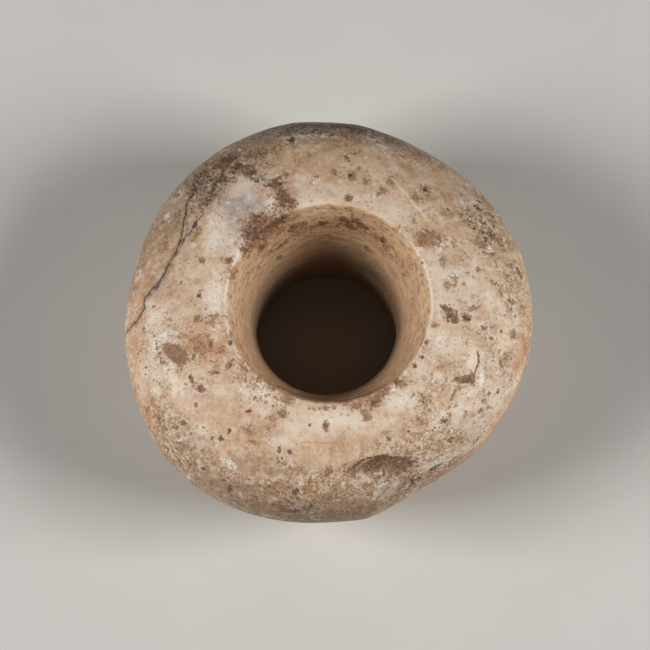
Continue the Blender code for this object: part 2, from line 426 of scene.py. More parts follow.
def half_axes(pixel, length, breadth, turn):
    """The half length and half breadth, on the stone, of an ellipse that is drawn on the picture."""
    place, normal = on_stone(pixel)
    axes = []
    for size, angle in ((length, turn), (breadth, turn + 90)):
        step = (math.cos(math.radians(angle)) * size / 2, -math.sin(math.radians(angle)) * size / 2)
        axis = on_plane((pixel[0] + step[0], pixel[1] + step[1]), place, normal) - place
        most = size * mm_per_pixel * LONGEST_AXIS
        axes.append(axis * min(1.0, most / np.linalg.norm(axis)))
    return place, normal, *axes


def window(place, reach):
    """The columns and rows of the net around a place."""
    place = np.asarray(place)
    bearing = math.atan2(place[1] + centre_shift[1], place[0] + centre_shift[0]) % math.tau
    column = round(bearing / math.tau * COLUMNS) % COLUMNS
    row = int(np.argmin(((skin[column] - place) ** 2).sum(1)))
    radius = max(LEAST_RADIUS, math.hypot(place[0], place[1]))
    columns = min(COLUMNS // 2 - 1, SPARE_LINES + int(reach / (radius * math.tau / COLUMNS)))
    row_count = min(ROWS // 2 - 1, SPARE_LINES + int(reach / row_gap[row]) + int(reach * CLOSER_ROWS))
    return np.ix_(
        np.arange(column - columns, column + columns + 1) % COLUMNS,
        np.arange(row - row_count, row + row_count + 1) % ROWS,
    )


print("the left of the mouth's edge is at", np.round(on_stone(RIM_LEFT)[0], 1))

# %% [markdown]
# ## Fields
# Every kind of mark has a field: one number for each point of the net, 1 in the middle of a mark, a half on
# its edge and 0 well outside it. The fields go to the material as attributes, and the relief, in
# millimetres along the normal, moves the points. The edge is ragged because the distance is disturbed with
# the lumps before the field is worked out.

# %% Fields and ragged marks
KINDS = (
    "polished", "side", "rim_wear_and_highlight", "dirt_and_shade", "brown", "dark", "orange", "grey", "pale", "white", "red", "inclusion",
    "scar", "pit", "line", "scratch", "soot", "smooth", "speckled", "waist",
)
fields = {kind: np.zeros((COLUMNS, ROWS), np.float32) for kind in KINDS}
relief = np.zeros((COLUMNS, ROWS), np.float32)
RAGGED = 0.12
MARK_WINDOW = 1.9  # how far round a mark the net is looked at, in its half lengths
MARK_EDGE = (0.35, 0.8)  # where the sunk edge of a mark starts, and how wide it is
MARK_UNEVEN = (0.8, 0.4)  # how much the fine and the tiny lumps change its depth
LINE_WINDOW = 3.0
LINE_EDGE = 1.6
LINE_UNEVEN = 0.25
DEPTH_IGNORED = 0.9  # the share of a point's height over a line that doesn't count as distance
WOBBLE = 0.25
# The pale band along the mouth's edge is partly a worn pale edge and partly a painted highlight, brightest
# where the lamps catch it.
RIM_BAND = (0.15, 0.42)  # middle and half width, in mm outwards from the mouth's edge
RIM_HIGHLIGHT_LEAST = 0.15  # how bright the painted highlight on the mouth's edge is in front and behind, where it is 1 at the sides by the lamps
# The waist band is painted shade, deep in the hole where little light reaches.
WAIST_BAND = (-20.5, 3.4)
LEAST_WAIST_SHADE_BEARING = 120.0  # where the painted shade at the waist is least
WAIST_SHADE_LIFTED = 0.95  # the share of that shade that is taken away there
RUBBED_RIM = (9.0, 8.0)  # mm from the mouth's edge to where the rubbing ends, and how wide it fades
RUBBED_FOOT = (7.0, 6.0)
FOOT_RUBBING = 0.7
# The side band is partly the stone's browner side and partly painted shade, darkest in front and behind, away
# from the side lamps.
SIDE_START = (18.0, 8.0)  # mm from the mouth's edge to where the side starts, and how wide it fades in
SIDE_FOOT = (2.0, 12.0)  # the same, up from the floor
SIDE_SHADE_LEAST = 0.4  # how brown and shaded the side is at the left and right, by the lamps, where it is 1 in front and behind


def spread_mark(kind, place, normal, along, across, depth, strength, ragged):
    """Adds one mark, an ellipse with a ragged edge, to its field, and sinks it into the relief."""
    long_half, short_half = np.linalg.norm(along), np.linalg.norm(across)
    at = window(place, MARK_WINDOW * max(long_half, short_half))
    offset = skin[at] - place
    reach = np.sqrt(
        (offset @ along / long_half**2) ** 2
        + (offset @ across / short_half**2) ** 2
        + (offset @ normal / max(long_half, short_half, 1.0)) ** 2
    )
    reach = reach + ragged * (ruffle_fine[at] + ruffle_medium[at])
    share = np.clip(1 - 0.5 * reach, 0, 1) * strength
    fields[kind][at] = np.maximum(fields[kind][at], share)
    if depth:
        uneven = 1 + MARK_UNEVEN[0] * ruffle_fine[at] + MARK_UNEVEN[1] * ruffle_tiny[at]
        relief[at] = np.minimum(relief[at], -depth * uneven * (1 - growing(reach, *MARK_EDGE)))


def picture_mark(kind, x, y, length, breadth, turn=0.0, *, depth, ragged, strength=1.0):
    place, normal, along, across = half_axes((x, y), length, breadth, turn)
    spread_mark(kind, place, normal, along, across, depth, strength, ragged)


def spread_line(kind, places, half_width, depth, wobble=WOBBLE, strength=1.0):
    """Adds a line along a run of places, cut in to depth; its field falls to a half at half_width."""
    for start, end in zip(places[:-1], places[1:]):
        start, end = np.asarray(start), np.asarray(end)
        span = end - start
        at = window((start + end) / 2, np.linalg.norm(span) / 2 + LINE_WINDOW * half_width + 1.0)
        shifted = skin[at] + wobble * np.stack([ruffle_medium[at], -ruffle_fine[at], ruffle_coarse[at]], -1)
        share = np.clip((shifted - start) @ span / (span @ span), 0, 1)
        offset = shifted - start - share[..., None] * span
        offset -= (offset * outward[at]).sum(-1, keepdims=True) * outward[at] * DEPTH_IGNORED
        away = np.linalg.norm(offset, axis=-1) / half_width * (1 + LINE_UNEVEN * ruffle_medium[at])
        fields[kind][at] = np.maximum(fields[kind][at], np.clip(1 - 0.5 * away, 0, 1) * strength)
        relief[at] = np.minimum(relief[at], -depth * (1 - ease(away / LINE_EDGE)))


def curved(points, steps=3):
    """More points of the open Catmull-Rom curve through the given ones."""
    points = np.array([points[0], *points, points[-1]], float)
    run = []
    for a, b, c, d in zip(points, points[1:], points[2:], points[3:]):
        for t in np.arange(steps) / steps:
            bend = (2 * a - 5 * b + 4 * c - d) * t**2
            turn_back = (3 * (b - c) + d - a) * t**3
            run.append(0.5 * (2 * b + (c - a) * t + bend + turn_back))
    return [*run, points[-1]]


def picture_line(kind, pixels, *sizes):
    spread_line(kind, [on_stone(p)[0] for p in curved(pixels)], *sizes)


def fading(value, end, width):
    """1 where a value is well below its end, and 0 past it."""
    return ease((end - value) / width)


def band(middle, half_width):
    """A soft band round the stone, at this distance from the mouth's edge."""
    return np.exp(-(((from_mouth - middle) / half_width) ** 2))


# painted highlight on the mouth's edge, brightest at the left and right where the lamps stand
highlight_at_lamps = RIM_HIGHLIGHT_LEAST + (1 - RIM_HIGHLIGHT_LEAST) * np.cos(bearings) ** 4
fields["rim_wear_and_highlight"] += np.outer(highlight_at_lamps, band(*RIM_BAND))
# painted shade round the waist, lighter towards one bearing
waist_shade_round = 1 - WAIST_SHADE_LIFTED * np.clip(np.cos(bearings - math.radians(LEAST_WAIST_SHADE_BEARING)), 0, 1) ** 2
fields["waist"] += np.outer(waist_shade_round, band(*WAIST_BAND))
from_lip = np.hypot(rows[:, 0] - LOWER_RADIUS, rows[:, 1])
rubbed = np.where(from_mouth > 0, fading(from_mouth, *RUBBED_RIM) * (rows[:, 1] > SEEN_HEIGHT), 0.0)
fields["polished"] += rubbed + FOOT_RUBBING * fading(from_lip, *RUBBED_FOOT)
near_girth = growing(np.abs(from_mouth), *SIDE_START) * growing(rows[:, 1], *SIDE_FOOT)
# Painted shade with the browner side: strongest in front and behind, where the lamps at the left and right
# don't reach.
fields["side"] += np.outer(SIDE_SHADE_LEAST + (1 - SIDE_SHADE_LEAST) * np.sin(bearings) ** 2, near_girth)
print(len(KINDS), "fields of", COLUMNS * ROWS, "points")

# %% [markdown]
# ## Where the flakes came off
# A blow takes a shell-shaped flake off a stone and leaves a smooth, shallow hollow with one sharp edge. An
# ellipsoid that dips into the surface makes the same hollow: every point inside it moves down until it
# lies on the ellipsoid. The largest one is the CAD's own scar. The smaller ones are chips on the rim of the
# hole.

# %% Cut the hollows
SCAR_BEARING = -72.0
SCAR_RADIUS = 36.7
SCAR_SIZES = (15.5, 5.4, 1.0)  # length, breadth, depth
SCAR_HEADING = 9.0
SCAR_TILT = -14.0
ELLIPSOID_HALF_HEIGHT = 3  # in depths of the hollow
HOLLOW_SPARE = 3  # mm round a hollow in which the net is looked at


def hollow(place, normal, along, length, breadth, depth):
    """Moves the points inside a flattened ellipsoid down onto it, and returns how far each moved."""
    thickness = depth * ELLIPSOID_HALF_HEIGHT
    spread = math.sqrt(1 - (1 - depth / thickness) ** 2)
    along = along - normal * (along @ normal)
    along = along / np.linalg.norm(along)
    halves = np.array([length / 2 / spread, breadth / 2 / spread, thickness])
    frame_axes = np.stack([along, np.cross(normal, along), normal])
    middle = place + normal * (thickness - depth)
    at = window(place, max(length, breadth) / 2 + HOLLOW_SPARE)
    local = (skin[at] + outward[at] * relief[at][..., None] - middle) @ frame_axes.T / halves
    flat_part = (local[..., :2] ** 2).sum(-1)
    floor = -np.sqrt(np.clip(1 - flat_part, 0, 1))
    sunk = np.where((flat_part < 1) & (local[..., 2] > floor), (local[..., 2] - floor) * halves[2], 0.0)
    sunk = np.where(np.abs(local[..., 2]) < 1.0, sunk, 0.0)
    relief[at] -= sunk
    return sunk


def cut_scar():
    share = (SCAR_RADIUS / HALF) ** FULLNESS
    height = GIRTH_HEIGHT + UPPER_RISE * (1 - share) ** (1 / FULLNESS)
    slope = UPPER_RISE / HALF * (SCAR_RADIUS / HALF) ** (FULLNESS - 1) * (1 - share) ** (1 / FULLNESS - 1)
    pitch = math.degrees(math.atan2(1.0, slope))
    place = swollen(direction(SCAR_BEARING) * SCAR_RADIUS + [0, 0, height])[0] - centre_shift
    return hollow(place, direction(SCAR_BEARING, pitch + SCAR_TILT), direction(SCAR_HEADING), *SCAR_SIZES)


def picture_chip(x, y, length, breadth, turn, depth):
    place, normal, along, across = half_axes((x, y), length, breadth, turn)
    normal = normal / np.linalg.norm(normal)
    hollow(place, normal, along, 2 * np.linalg.norm(along), 2 * np.linalg.norm(across), depth)


scar_sunk = cut_scar()
CHIPS = (  # x, y, length, breadth, turn, depth
    (392, 391, 13, 6, 38, 0.35),
    (372, 398, 26, 10, 25, 0.35),
    (426, 343, 6, 4, 80, 0.25),
    (422, 357, 6, 4, 70, 0.25),
    (415, 365, 7, 4, 60, 0.25),
    (243, 247, 16, 7, 50, 0.25),
    (282, 226, 22, 7, 22, 0.25),
    (231, 343, 6, 5, 90, 0.2),
)
for chip in CHIPS:
    picture_chip(*chip)
print("the scar is cut", round(float(scar_sunk.max()), 2), "mm deep, with", len(CHIPS), "smaller chips")

# %% [markdown]
# ## Stains and patches that the photograph shows
# The larger stains are each named by the pixel of their middle, their length and breadth in pixels and, where
# they are turned, by how far counter-clockwise from the picture's right. Many are slightly sunk, because the
# softer, browner spots of the stone weathered out. Scattering them at random would be quicker, but their
# places are what makes it this stone and not another. Smooth and speckled zones aren't stains: they steer the
# pits. Each kind has a table, in which the marks stand together by strength.

# %% Brown stains
BROWN = {  # strength, then x, y, length, breadth and turn
    1.0: (
        (334.3, 172.6, 6, 6), (232.4, 270, 6, 6), (282, 414, 9, 10, 60), (211.2, 453.3, 4, 3),
        (325.8, 426.6, 6, 10), (366.8, 416.3, 9, 8, -20),
    ),
    0.95: ((348.3, 198, 7, 8), (375, 401, 14, 9, 35), (376, 402, 16, 10, 30)),
    0.9: (
        (391, 181, 10, 8, 20), (351, 174.8, 9, 8), (359.3, 168, 5, 5), (434.7, 324.6, 7, 6),
        (196.8, 318, 9, 9), (202.3, 260.3, 6, 7), (228.5, 260, 8, 7), (171.4, 293.3, 6, 6),
        (385, 391.5, 14, 8, 35), (263, 246, 16, 9, 45), (481, 243, 15, 12),
    ),
    0.85: (
        (431, 238, 34, 17, -8), (424, 243, 22, 9, -10), (443.6, 259.7, 12, 7, 70), (214, 318, 16, 11, -20),
        (357, 405, 18, 8, 18), (287, 400, 15, 9), (229, 366, 14, 8, 20),
    ),
    0.8: (
        (425, 189, 13, 9, 20), (384, 190, 9, 7), (286.6, 174, 9, 6), (447, 285, 9, 9), (463.8, 284, 4, 4),
        (454.6, 244.6, 6, 5), (478.6, 270.4, 9, 5), (507, 355.5, 8, 9), (159, 354, 6, 7),
        (163.9, 362, 7, 7), (290, 398.5, 11, 6), (247.5, 370.3, 9, 6, -30), (386, 433.4, 8, 5, 10),
        (430.6, 403.4, 6, 5), (497, 392.3, 8, 3, 20), (346, 226, 9, 5, -5), (364, 230, 9, 6, -20),
        (248, 431, 14, 12), (196, 233, 9, 17, -20), (251, 497, 18, 9, -15), (278, 506, 26, 11, -8),
        (376, 399, 16, 8, 30), (281, 230, 14, 9, 15), (498, 241, 10, 12), (366, 410, 14, 6, 15),
        (422, 395, 9, 7), (233, 276, 8, 10), (303, 396, 12, 7, 10), (342, 401, 16, 6, 8), (241, 364, 10, 7),
        (211, 323, 14, 9),
    ),
    0.75: (
        (366, 179.4, 10, 9), (473, 308, 17, 5, 20), (202, 348.5, 19, 12), (220, 350, 11, 9),
        (273, 418.5, 9, 9), (410, 479, 14, 7, 15), (312, 228, 9, 6), (375, 238, 12, 6, -30),
        (386, 246, 12, 6, -38), (417, 197, 13, 11), (231, 472, 16, 9, -20), (493, 254, 9, 11),
        (214, 462, 14, 8, -30), (419, 153, 16, 7, -30), (194, 386, 9, 9), (370, 474, 16, 8, 10),
        (404, 385, 11, 8, 35), (485, 401, 9, 7),
    ),
    0.7: (
        (347.5, 159, 10, 8), (308.5, 155, 10, 8, -30), (467.6, 273.6, 5, 5), (507, 265.5, 6, 7),
        (198, 339, 18, 12), (221.5, 259, 6, 6), (180, 371, 8, 14, 25), (160, 357, 4, 9, 20),
        (249, 427, 11, 9), (213, 371.5, 14, 5, 10), (421, 422, 15, 11), (426.5, 399, 13, 10),
        (482.7, 392.3, 7, 7), (297, 227, 14, 8, 20), (380, 240, 22, 9, -38), (407.3, 272, 5, 4),
        (300, 233, 9, 6, 20), (402, 264, 7, 6, -50), (262, 224, 44, 24, 20), (352, 226, 56, 14, -5),
        (271, 252, 12, 6, 45), (400, 383, 16, 7, 35), (325, 408, 30, 5), (257, 398, 16, 7, -25),
        (254, 384, 12, 6, -30), (252, 443, 12, 8), (225, 471, 16, 9, -20), (467, 223, 8, 9),
        (271, 195, 9, 8), (365, 472, 12, 7, 10), (271, 489, 20, 10, -8), (344, 467, 12, 8, 20),
    ),
    0.65: ((158, 420, 9, 13, -20), (372, 397, 38, 16, 25), (356, 153, 13, 9), (167, 246, 9, 18, -25)),
    0.62: ((384, 247, 34, 14, -38), (300, 232, 40, 12, 22)),
    0.6: (
        (396, 229.5, 9, 6, 40), (412.5, 220, 8, 12, 10), (345, 175, 6, 5), (484, 252, 9, 7),
        (496, 283.5, 20, 5, -12), (444, 364, 24, 12, 12), (452, 360, 8, 8), (221, 323, 6, 6),
        (197, 253.5, 5, 5), (225.6, 278, 7, 5, 20), (184, 362, 10, 8, -50), (181.7, 444.5, 17, 7, -5),
        (275, 425, 7, 6), (202, 469, 10, 6, 30), (310, 231, 14, 8, 10), (412.8, 265.8, 9, 8),
        (258.5, 268.5, 8, 6, 50), (288, 233, 8, 5, 30), (335, 227, 10, 5), (396, 255, 10, 6, -45),
        (276, 245, 10, 6, 40), (252, 240, 24, 20, 40), (328, 236, 10, 5), (404, 276, 7, 6, -60),
        (422, 276, 4, 6), (441, 167, 16, 10, -30), (414, 395, 8, 5, 30),
    ),
    0.55: ((448.5, 213.7, 13, 7, 15), (292, 206, 12, 9), (414, 300, 5, 7), (247, 275, 6, 8)),
    0.5: (
        (411, 230, 12, 8), (427, 197, 18, 6), (459, 260, 14, 8, 30), (185, 334.7, 10, 8), (172, 423, 8, 8),
        (251.6, 433.4, 8, 8), (306, 507, 22, 12), (346, 240, 10, 4, -8), (318, 241, 8, 4, 8),
        (368, 247, 8, 4, -30), (265, 256, 8, 6, 50), (418, 292, 5, 5, -70), (216, 168, 18, 12, 30),
        (410, 315, 4, 6), (242, 301, 5, 6), (300, 163, 12, 8),
    ),
    0.45: ((265, 486, 70, 13, -8), (240, 484, 26, 9, -15), (255, 290, 5, 6)),
    0.4: (
        (403, 290, 6, 5, -70), (239, 290, 6, 6), (243, 312, 5, 8), (416, 330, 5, 7, 80),
        (408, 348, 5, 6, 80),
    ),
    0.3: ((350, 495, 40, 14, 10),),
}


def count_of(table):
    return sum(len(marks) for marks in table.values())


print(count_of(BROWN), "brown stains")

# %% Dark stains and soot
DARK = {
    1.0: (
        (285, 199, 16, 12, -30), (192, 380, 5, 9, 25), (199, 294.6, 6, 7), (196, 404.8, 4.5, 4.5),
        (220.8, 439, 5, 7, 20), (229, 430.7, 3, 5), (279, 449.9, 4.5, 7), (384, 474, 3.5, 3.5),
        (426.5, 342.5, 4.5, 6), (501.2, 331.5, 3.5, 3.5), (195.4, 224.5, 5, 6), (205.7, 309, 3, 3),
        # (378.5, 457.5) here and (400, 458.5) below lie along the scar's upper edge: painted shadow
        (378.5, 457.5, 18, 6, 8), (351.7, 214.8, 3, 3),
    ),
    0.95: (
        (466, 317.5, 10, 9), (356, 221.5, 14, 6, -12), (322, 224, 7, 7, 40), (275, 184, 14, 13, -50),
        (258, 232, 26, 20, 25), (400, 458.5, 38, 5, -5), (454, 319, 9, 9), (348, 226, 18, 6, -8),
    ),
    0.9: (
        (444, 307.5, 9, 6, -20), (343, 219.5, 10, 6), (366, 247, 6, 4, -35), (348, 222, 12, 6, -8),
        (323, 224.7, 8, 8, 30), (201.8, 388.8, 11, 8, -20), (229.5, 366, 9, 3, 25), (184, 423.1, 6, 6),
        (249.6, 410.8, 6, 4, 10), (289.3, 452, 4.5, 6), (281.8, 458.8, 4, 4), (469.5, 379, 9, 9),
        (422.4, 357.3, 4.5, 5), (414.8, 364.8, 5, 4.5, 40), (291, 141, 8, 7), (233, 359.5, 4, 4),
        (231, 343, 6, 5), (309.9, 425.2, 3.5, 3.5),
    ),
    0.85: (
        (281, 246, 12, 4, 50), (291, 204, 11, 12), (272, 226, 26, 14, 15), (464, 379.5, 20, 8, 3),
        (510.8, 301.3, 6, 7), (434, 468, 10, 4, 8), (373, 470, 20, 9, 12), (404, 465, 20, 7, -5),
    ),
    0.8: (
        (449.5, 313, 14, 15, 60), (450, 320.5, 12, 5, 5), (383, 240, 12, 6, -40), (295, 226, 10, 6, 10),
        (367.5, 249.4, 8, 4, -35), (279, 257.6, 8, 4, 50), (252, 236, 13, 15), (450.5, 440.3, 6.5, 6),
        (374, 402, 9, 6, 30), (490.9, 338.4, 8, 4, -40), (519, 273.5, 4, 6, -15), (194.8, 187, 4, 20, -5),
        (262, 247, 12, 7, 45),
    ),
    0.75: (
        (352, 228, 12, 6, -10), (366, 228, 10, 5, -25), (375, 236, 10, 4, -35), (384, 243, 10, 4, -38),
        (302, 224, 10, 5, 20), (443.8, 421, 8, 6),
    ),
    0.7: (
        (290, 231, 8, 5, 30), (224, 179, 16, 14), (281, 192, 14, 14), (283, 205, 14, 9), (255, 217, 14, 9),
        (265, 220, 16, 9), (245, 252, 10, 8, 50), (484, 327.8, 7, 6, -30), (524, 290.5, 3, 5, -5),
        (510.5, 266, 5, 5, -20), (366, 465, 16, 8, 25), (349.7, 469, 14, 5, 22), (411, 480, 9, 5, 15),
        (213, 360.7, 5, 4), (312, 505, 8, 5), (291, 511, 24, 6), (466, 379.5, 20, 9, 3),
    ),
    0.65: ((214, 187, 14, 9, 40),),
    0.62: ((250, 245, 16, 12, 45),),
    0.6: (
        (206, 172, 18, 9, 40), (211, 180, 12, 8, 30), (234, 180, 10, 7), (231, 172, 14, 8),
        (285, 222, 16, 7, 15), (181.7, 282, 3.5, 6), (306, 508, 16, 8),
    ),
    0.55: ((219, 190, 12, 7, 20), (144, 330, 5, 8), (154.5, 334.7, 5, 8)),
    0.5: ((190, 203, 9, 16, -30),),
    0.45: ((291, 130, 34, 9, 8),),
    0.4: ((298, 500, 10, 6),),
}
# The long soot bands along the top edge, (326, 125.5) and (318, 129), are partly painted shade where the side
# lamps don't reach.
SOOT = {
    1.0: ((224, 162, 20, 11), (351.7, 214.8, 3, 3)),
    0.9: ((477, 208, 5, 5), (291, 141, 7, 6)),
    0.85: ((238, 166, 22, 8, -18), (250, 172, 16, 9, -28), (490, 215.5, 4.5, 4)),
    0.8: (
        (484, 223.3, 6, 6), (491, 235, 8, 10), (474, 228, 5, 6), (467, 210, 4, 4), (326, 125.5, 120, 8),
        (351, 174.8, 6, 5), (414, 481, 14, 7, 20),
    ),
    0.75: ((425, 189, 8, 6, 20),),
    0.7: (
        (226, 167, 22, 9, 20), (224, 180, 10, 16, -20), (482.7, 211, 5, 5), (462.1, 216.5, 7, 5),
        (478.6, 201.5, 5, 5), (486, 240, 8, 7), (494, 227, 4, 5), (466, 379.5, 18, 8, 2),
        (256, 180, 12, 6, -40), (444, 421, 6, 4), (404, 484, 9, 6),
    ),
    0.65: ((471, 220.5, 7, 7),),
    0.62: ((483, 232, 7, 7), (466, 317.5, 6, 6)),
    0.6: (
        (212, 173, 16, 8, 45), (214, 187, 8, 14, -30), (234, 172, 8, 8), (291, 130, 34, 7, 8),
        (391, 141, 20, 8, -25), (434, 469, 14, 5, 12),
    ),
    0.56: ((204, 180, 46, 40, 30),),
    0.55: ((208, 198, 6, 16, -30), (347.5, 158, 8, 6)),
    0.52: ((318, 129, 150, 12),),
    0.5: ((262, 178, 16, 6, -40), (190, 203, 6, 14, -30), (390, 138, 40, 6, -20)),
    0.48: ((262, 152, 70, 16, 32),),
}
print(count_of(DARK), "dark stains and", count_of(SOOT), "of soot")

# %% Tints, dirt and painted shade
ORANGE = {
    1.0: ((220, 314, 12, 9),),
    0.9: (
        (202, 345, 48, 36, -20), (310.6, 178.8, 7, 5), (321.6, 190.4, 5, 5), (344, 176, 9, 6),
        (258, 442, 12, 4),
    ),
    0.8: (
        (187, 335, 16, 12), (452, 358, 12, 8, 10), (437, 364, 34, 18, 10), (327, 179.4, 6, 5),
        (434.7, 324.6, 9, 8), (140, 380, 20, 110, 12), (498, 430, 44, 9, 52), (486, 452, 30, 7, 45),
        (214, 318, 30, 24),
    ),
    0.7: ((467.6, 274, 8, 8), (447, 214, 16, 9, 20), (523, 350, 18, 90, -8)),
    0.6: ((290, 190, 34, 44, -30), (430, 236, 46, 28), (447, 398, 34, 20, 30), (262, 388, 18, 12)),
    0.55: ((470, 404, 40, 26, 20),),
    0.5: ((220, 405, 24, 14), (142, 290, 26, 120, -18)),
    0.45: ((238, 354, 12, 40),),
    0.4: ((266, 226, 50, 32, 20), (255, 415, 64, 36), (214, 430, 76, 54)),
    0.25: ((505, 310, 22, 50),),
}
# The long grey bands along the top and bottom edges, (300, 128) and (300, 507), are partly painted shade
# where the side lamps don't reach.
GREY = {
    0.95: ((240, 197, 26, 13, 20), (247, 203, 24, 28)),
    0.9: ((231, 209, 14, 18), (160.5, 285, 11, 7, 30)),
    0.8: ((237, 238, 9, 16, 10),),
    0.75: ((229, 222, 9, 15, 20), (246, 226, 9, 22, 10)),
    0.7: ((252, 188, 16, 8, -20), (262, 182, 20, 12, -30), (300, 128, 100, 14, 5)),
    0.62: ((168, 212, 14, 34, -35),),
    0.6: ((221, 203, 10, 8), (246, 212, 8, 12), (375, 139, 60, 12, -14), (270, 225, 16, 10, 20)),
    0.55: ((214, 178, 44, 34, 30),),
    0.5: ((190, 230, 14, 40, -20), (300, 507, 80, 14, -3)),
}
# Most of these are a brown film of dirt, but the long bands hugging the top and bottom edges of the outline,
# such as (320, 126) and (310, 514), are partly painted shade where the side lamps don't reach, and the patch
# at (393, 300) on the hole's wall is painted shade.
DIRT_AND_SHADE = {
    1.0: (
        (150, 240, 22, 100, -22), (205, 178, 50, 46, 20), (320, 126, 150, 9), (320, 127, 180, 12),
        (310, 514, 150, 12), (320, 132, 150, 22, 2), (392, 141, 30, 10, -25),
    ),
    0.9: (
        (255, 155, 60, 16, 32), (200, 175, 40, 90, -38), (250, 148, 90, 26, 32), (330, 505, 150, 26, -2),
        (166, 212, 16, 36, -35),
    ),
    0.8: (
        (172, 225, 30, 80, -25), (230, 490, 80, 24, -25), (262, 228, 60, 34, 25), (235, 168, 60, 26, 10),
        (393, 300, 10, 36, -8),
    ),
    0.7: ((372, 398, 50, 18, 25), (285, 196, 34, 40, -30)),
    0.62: ((250, 470, 90, 46, -28),),
    0.6: ((200, 190, 30, 40, -20), (180, 190, 22, 46, -35), (285, 488, 90, 22, -8)),
    0.55: ((410, 150, 90, 24, -32),),
    0.5: (
        (150, 275, 24, 70, -15), (470, 200, 40, 60, 40), (380, 480, 90, 34, 12), (195, 450, 60, 30, -45),
        (395, 470, 60, 20), (205, 345, 50, 40, -10),
    ),
    0.45: ((493, 238, 14, 50, -20),),
    0.4: ((488, 232, 16, 30, -22), (515, 260, 20, 90, 10)),
    0.35: ((478, 228, 36, 46, -20),),
    0.25: ((350, 160, 90, 26),),
}
# some of the dirty patches are painted shade
print(count_of(ORANGE), "orange,", count_of(GREY), "grey and", count_of(DIRT_AND_SHADE), "dirty patches")

# %% Pale and white patches
PALE = {
    1.0: (
        (238, 254, 12, 16, 40), (271, 203, 11, 20, 10), (215, 300, 20, 56), (394, 389, 8, 6),
        (459, 413, 30, 16, 35), (303, 206, 12, 14),
    ),
    0.95: ((154, 319, 16, 20),),
    0.9: (
        (244, 187, 28, 18), (214, 228, 20, 40), (398, 400, 40, 22, 30), (436, 462, 32, 8, 10),
        (472, 360, 10, 22, -10), (482, 378, 5, 16), (517, 380, 9, 6, 30), (340, 420, 96, 24),
        (300, 430, 36, 20), (179, 194.5, 5, 9), (491, 299, 20, 24), (300, 178, 20, 9),
        (424, 369, 16, 18, -30), (210, 247, 16, 20), (467, 394, 26, 16, 20), (482, 420, 24, 14, 40),
        (219, 243, 12, 12), (431, 256, 12, 10, -20), (307, 206, 10, 10),
    ),
    0.85: (
        (144, 373, 14, 34, 8), (152, 357, 12, 18, 20), (166, 333, 20, 12), (447, 243, 14, 12),
        (334, 200, 20, 7), (435, 361, 10, 16, -20), (454, 272, 14, 16), (223, 225, 10, 14),
    ),
    0.8: (
        (495, 400, 34, 34), (366, 480, 10, 6), (376, 494, 7, 9), (175, 380, 36, 18, -40),
        (258, 396, 44, 18, -25), (310, 196, 44, 26, 10), (395, 212, 36, 22, -40), (440, 285, 16, 66),
        (448, 345, 28, 34), (436, 270, 20, 26), (440, 219, 7, 5), (242, 239, 8, 16, 20), (282, 441, 22, 16),
        (370, 202, 30, 10, -20), (344, 195, 24, 8), (156, 376, 18, 16), (439, 250, 10, 20),
        (250, 197, 12, 12), (454, 301, 14, 16), (226, 233, 10, 14), (355, 198, 14, 8), (442, 248, 10, 10),
        (444, 413, 14, 9), (400, 222, 14, 8, -40), (265, 411, 16, 12), (154, 346, 9, 14, 20),
        (356, 199, 14, 7), (149, 305, 9, 14, -10), (400, 224, 12, 7, -40), (476, 204, 20, 10, -45),
        (437, 461, 16, 8, 20), (430, 330, 8, 22), (310, 196, 26, 8), (330, 425, 66, 22), (226, 240, 20, 22),
    ),
    0.75: ((202, 374, 18, 12), (198, 272, 14, 14), (298, 185, 12, 10)),
    0.7: (
        (468, 290, 34, 46), (165, 340, 40, 8, -10), (308, 136, 46, 4, 4), (372, 139, 22, 5, -15),
        (500, 285, 10, 5), (492, 361, 14, 22), (474, 262, 14, 14), (230, 308, 10, 12), (406, 244, 10, 8),
        (140, 385, 12, 40, 12), (466, 448, 22, 8, 45), (201, 429, 22, 16), (221, 392, 20, 12, -20),
        (388, 494, 16, 7, 20), (243, 238, 8, 14, 20), (476, 325, 12, 14), (199, 443, 14, 10),
        (162, 310, 12, 14), (265, 210, 9, 9), (436, 461, 16, 6, 20), (188, 357, 7, 9), (462, 203, 14, 10),
        (177, 432, 14, 10, -30), (420, 230, 12, 6, -20), (516, 322, 10, 34), (440, 340, 12, 14),
        (191, 357, 10, 10), (348, 175, 12, 8), (329, 472, 14, 8),
    ),
    0.6: (
        (472, 428, 30, 24, 30), (459, 362, 16, 12), (427, 457, 20, 7, 20), (428, 457, 18, 8, 20),
        (276, 458, 16, 9), (481, 208, 8, 8), (342, 182, 12, 6), (196, 188, 8, 8),
    ),
    0.55: ((385, 493, 16, 6, 20),),
    0.5: ((190, 258, 10, 18), (460, 395, 34, 24), (357, 496, 20, 7, 5)),
    0.35: ((322, 470, 60, 22),),
}
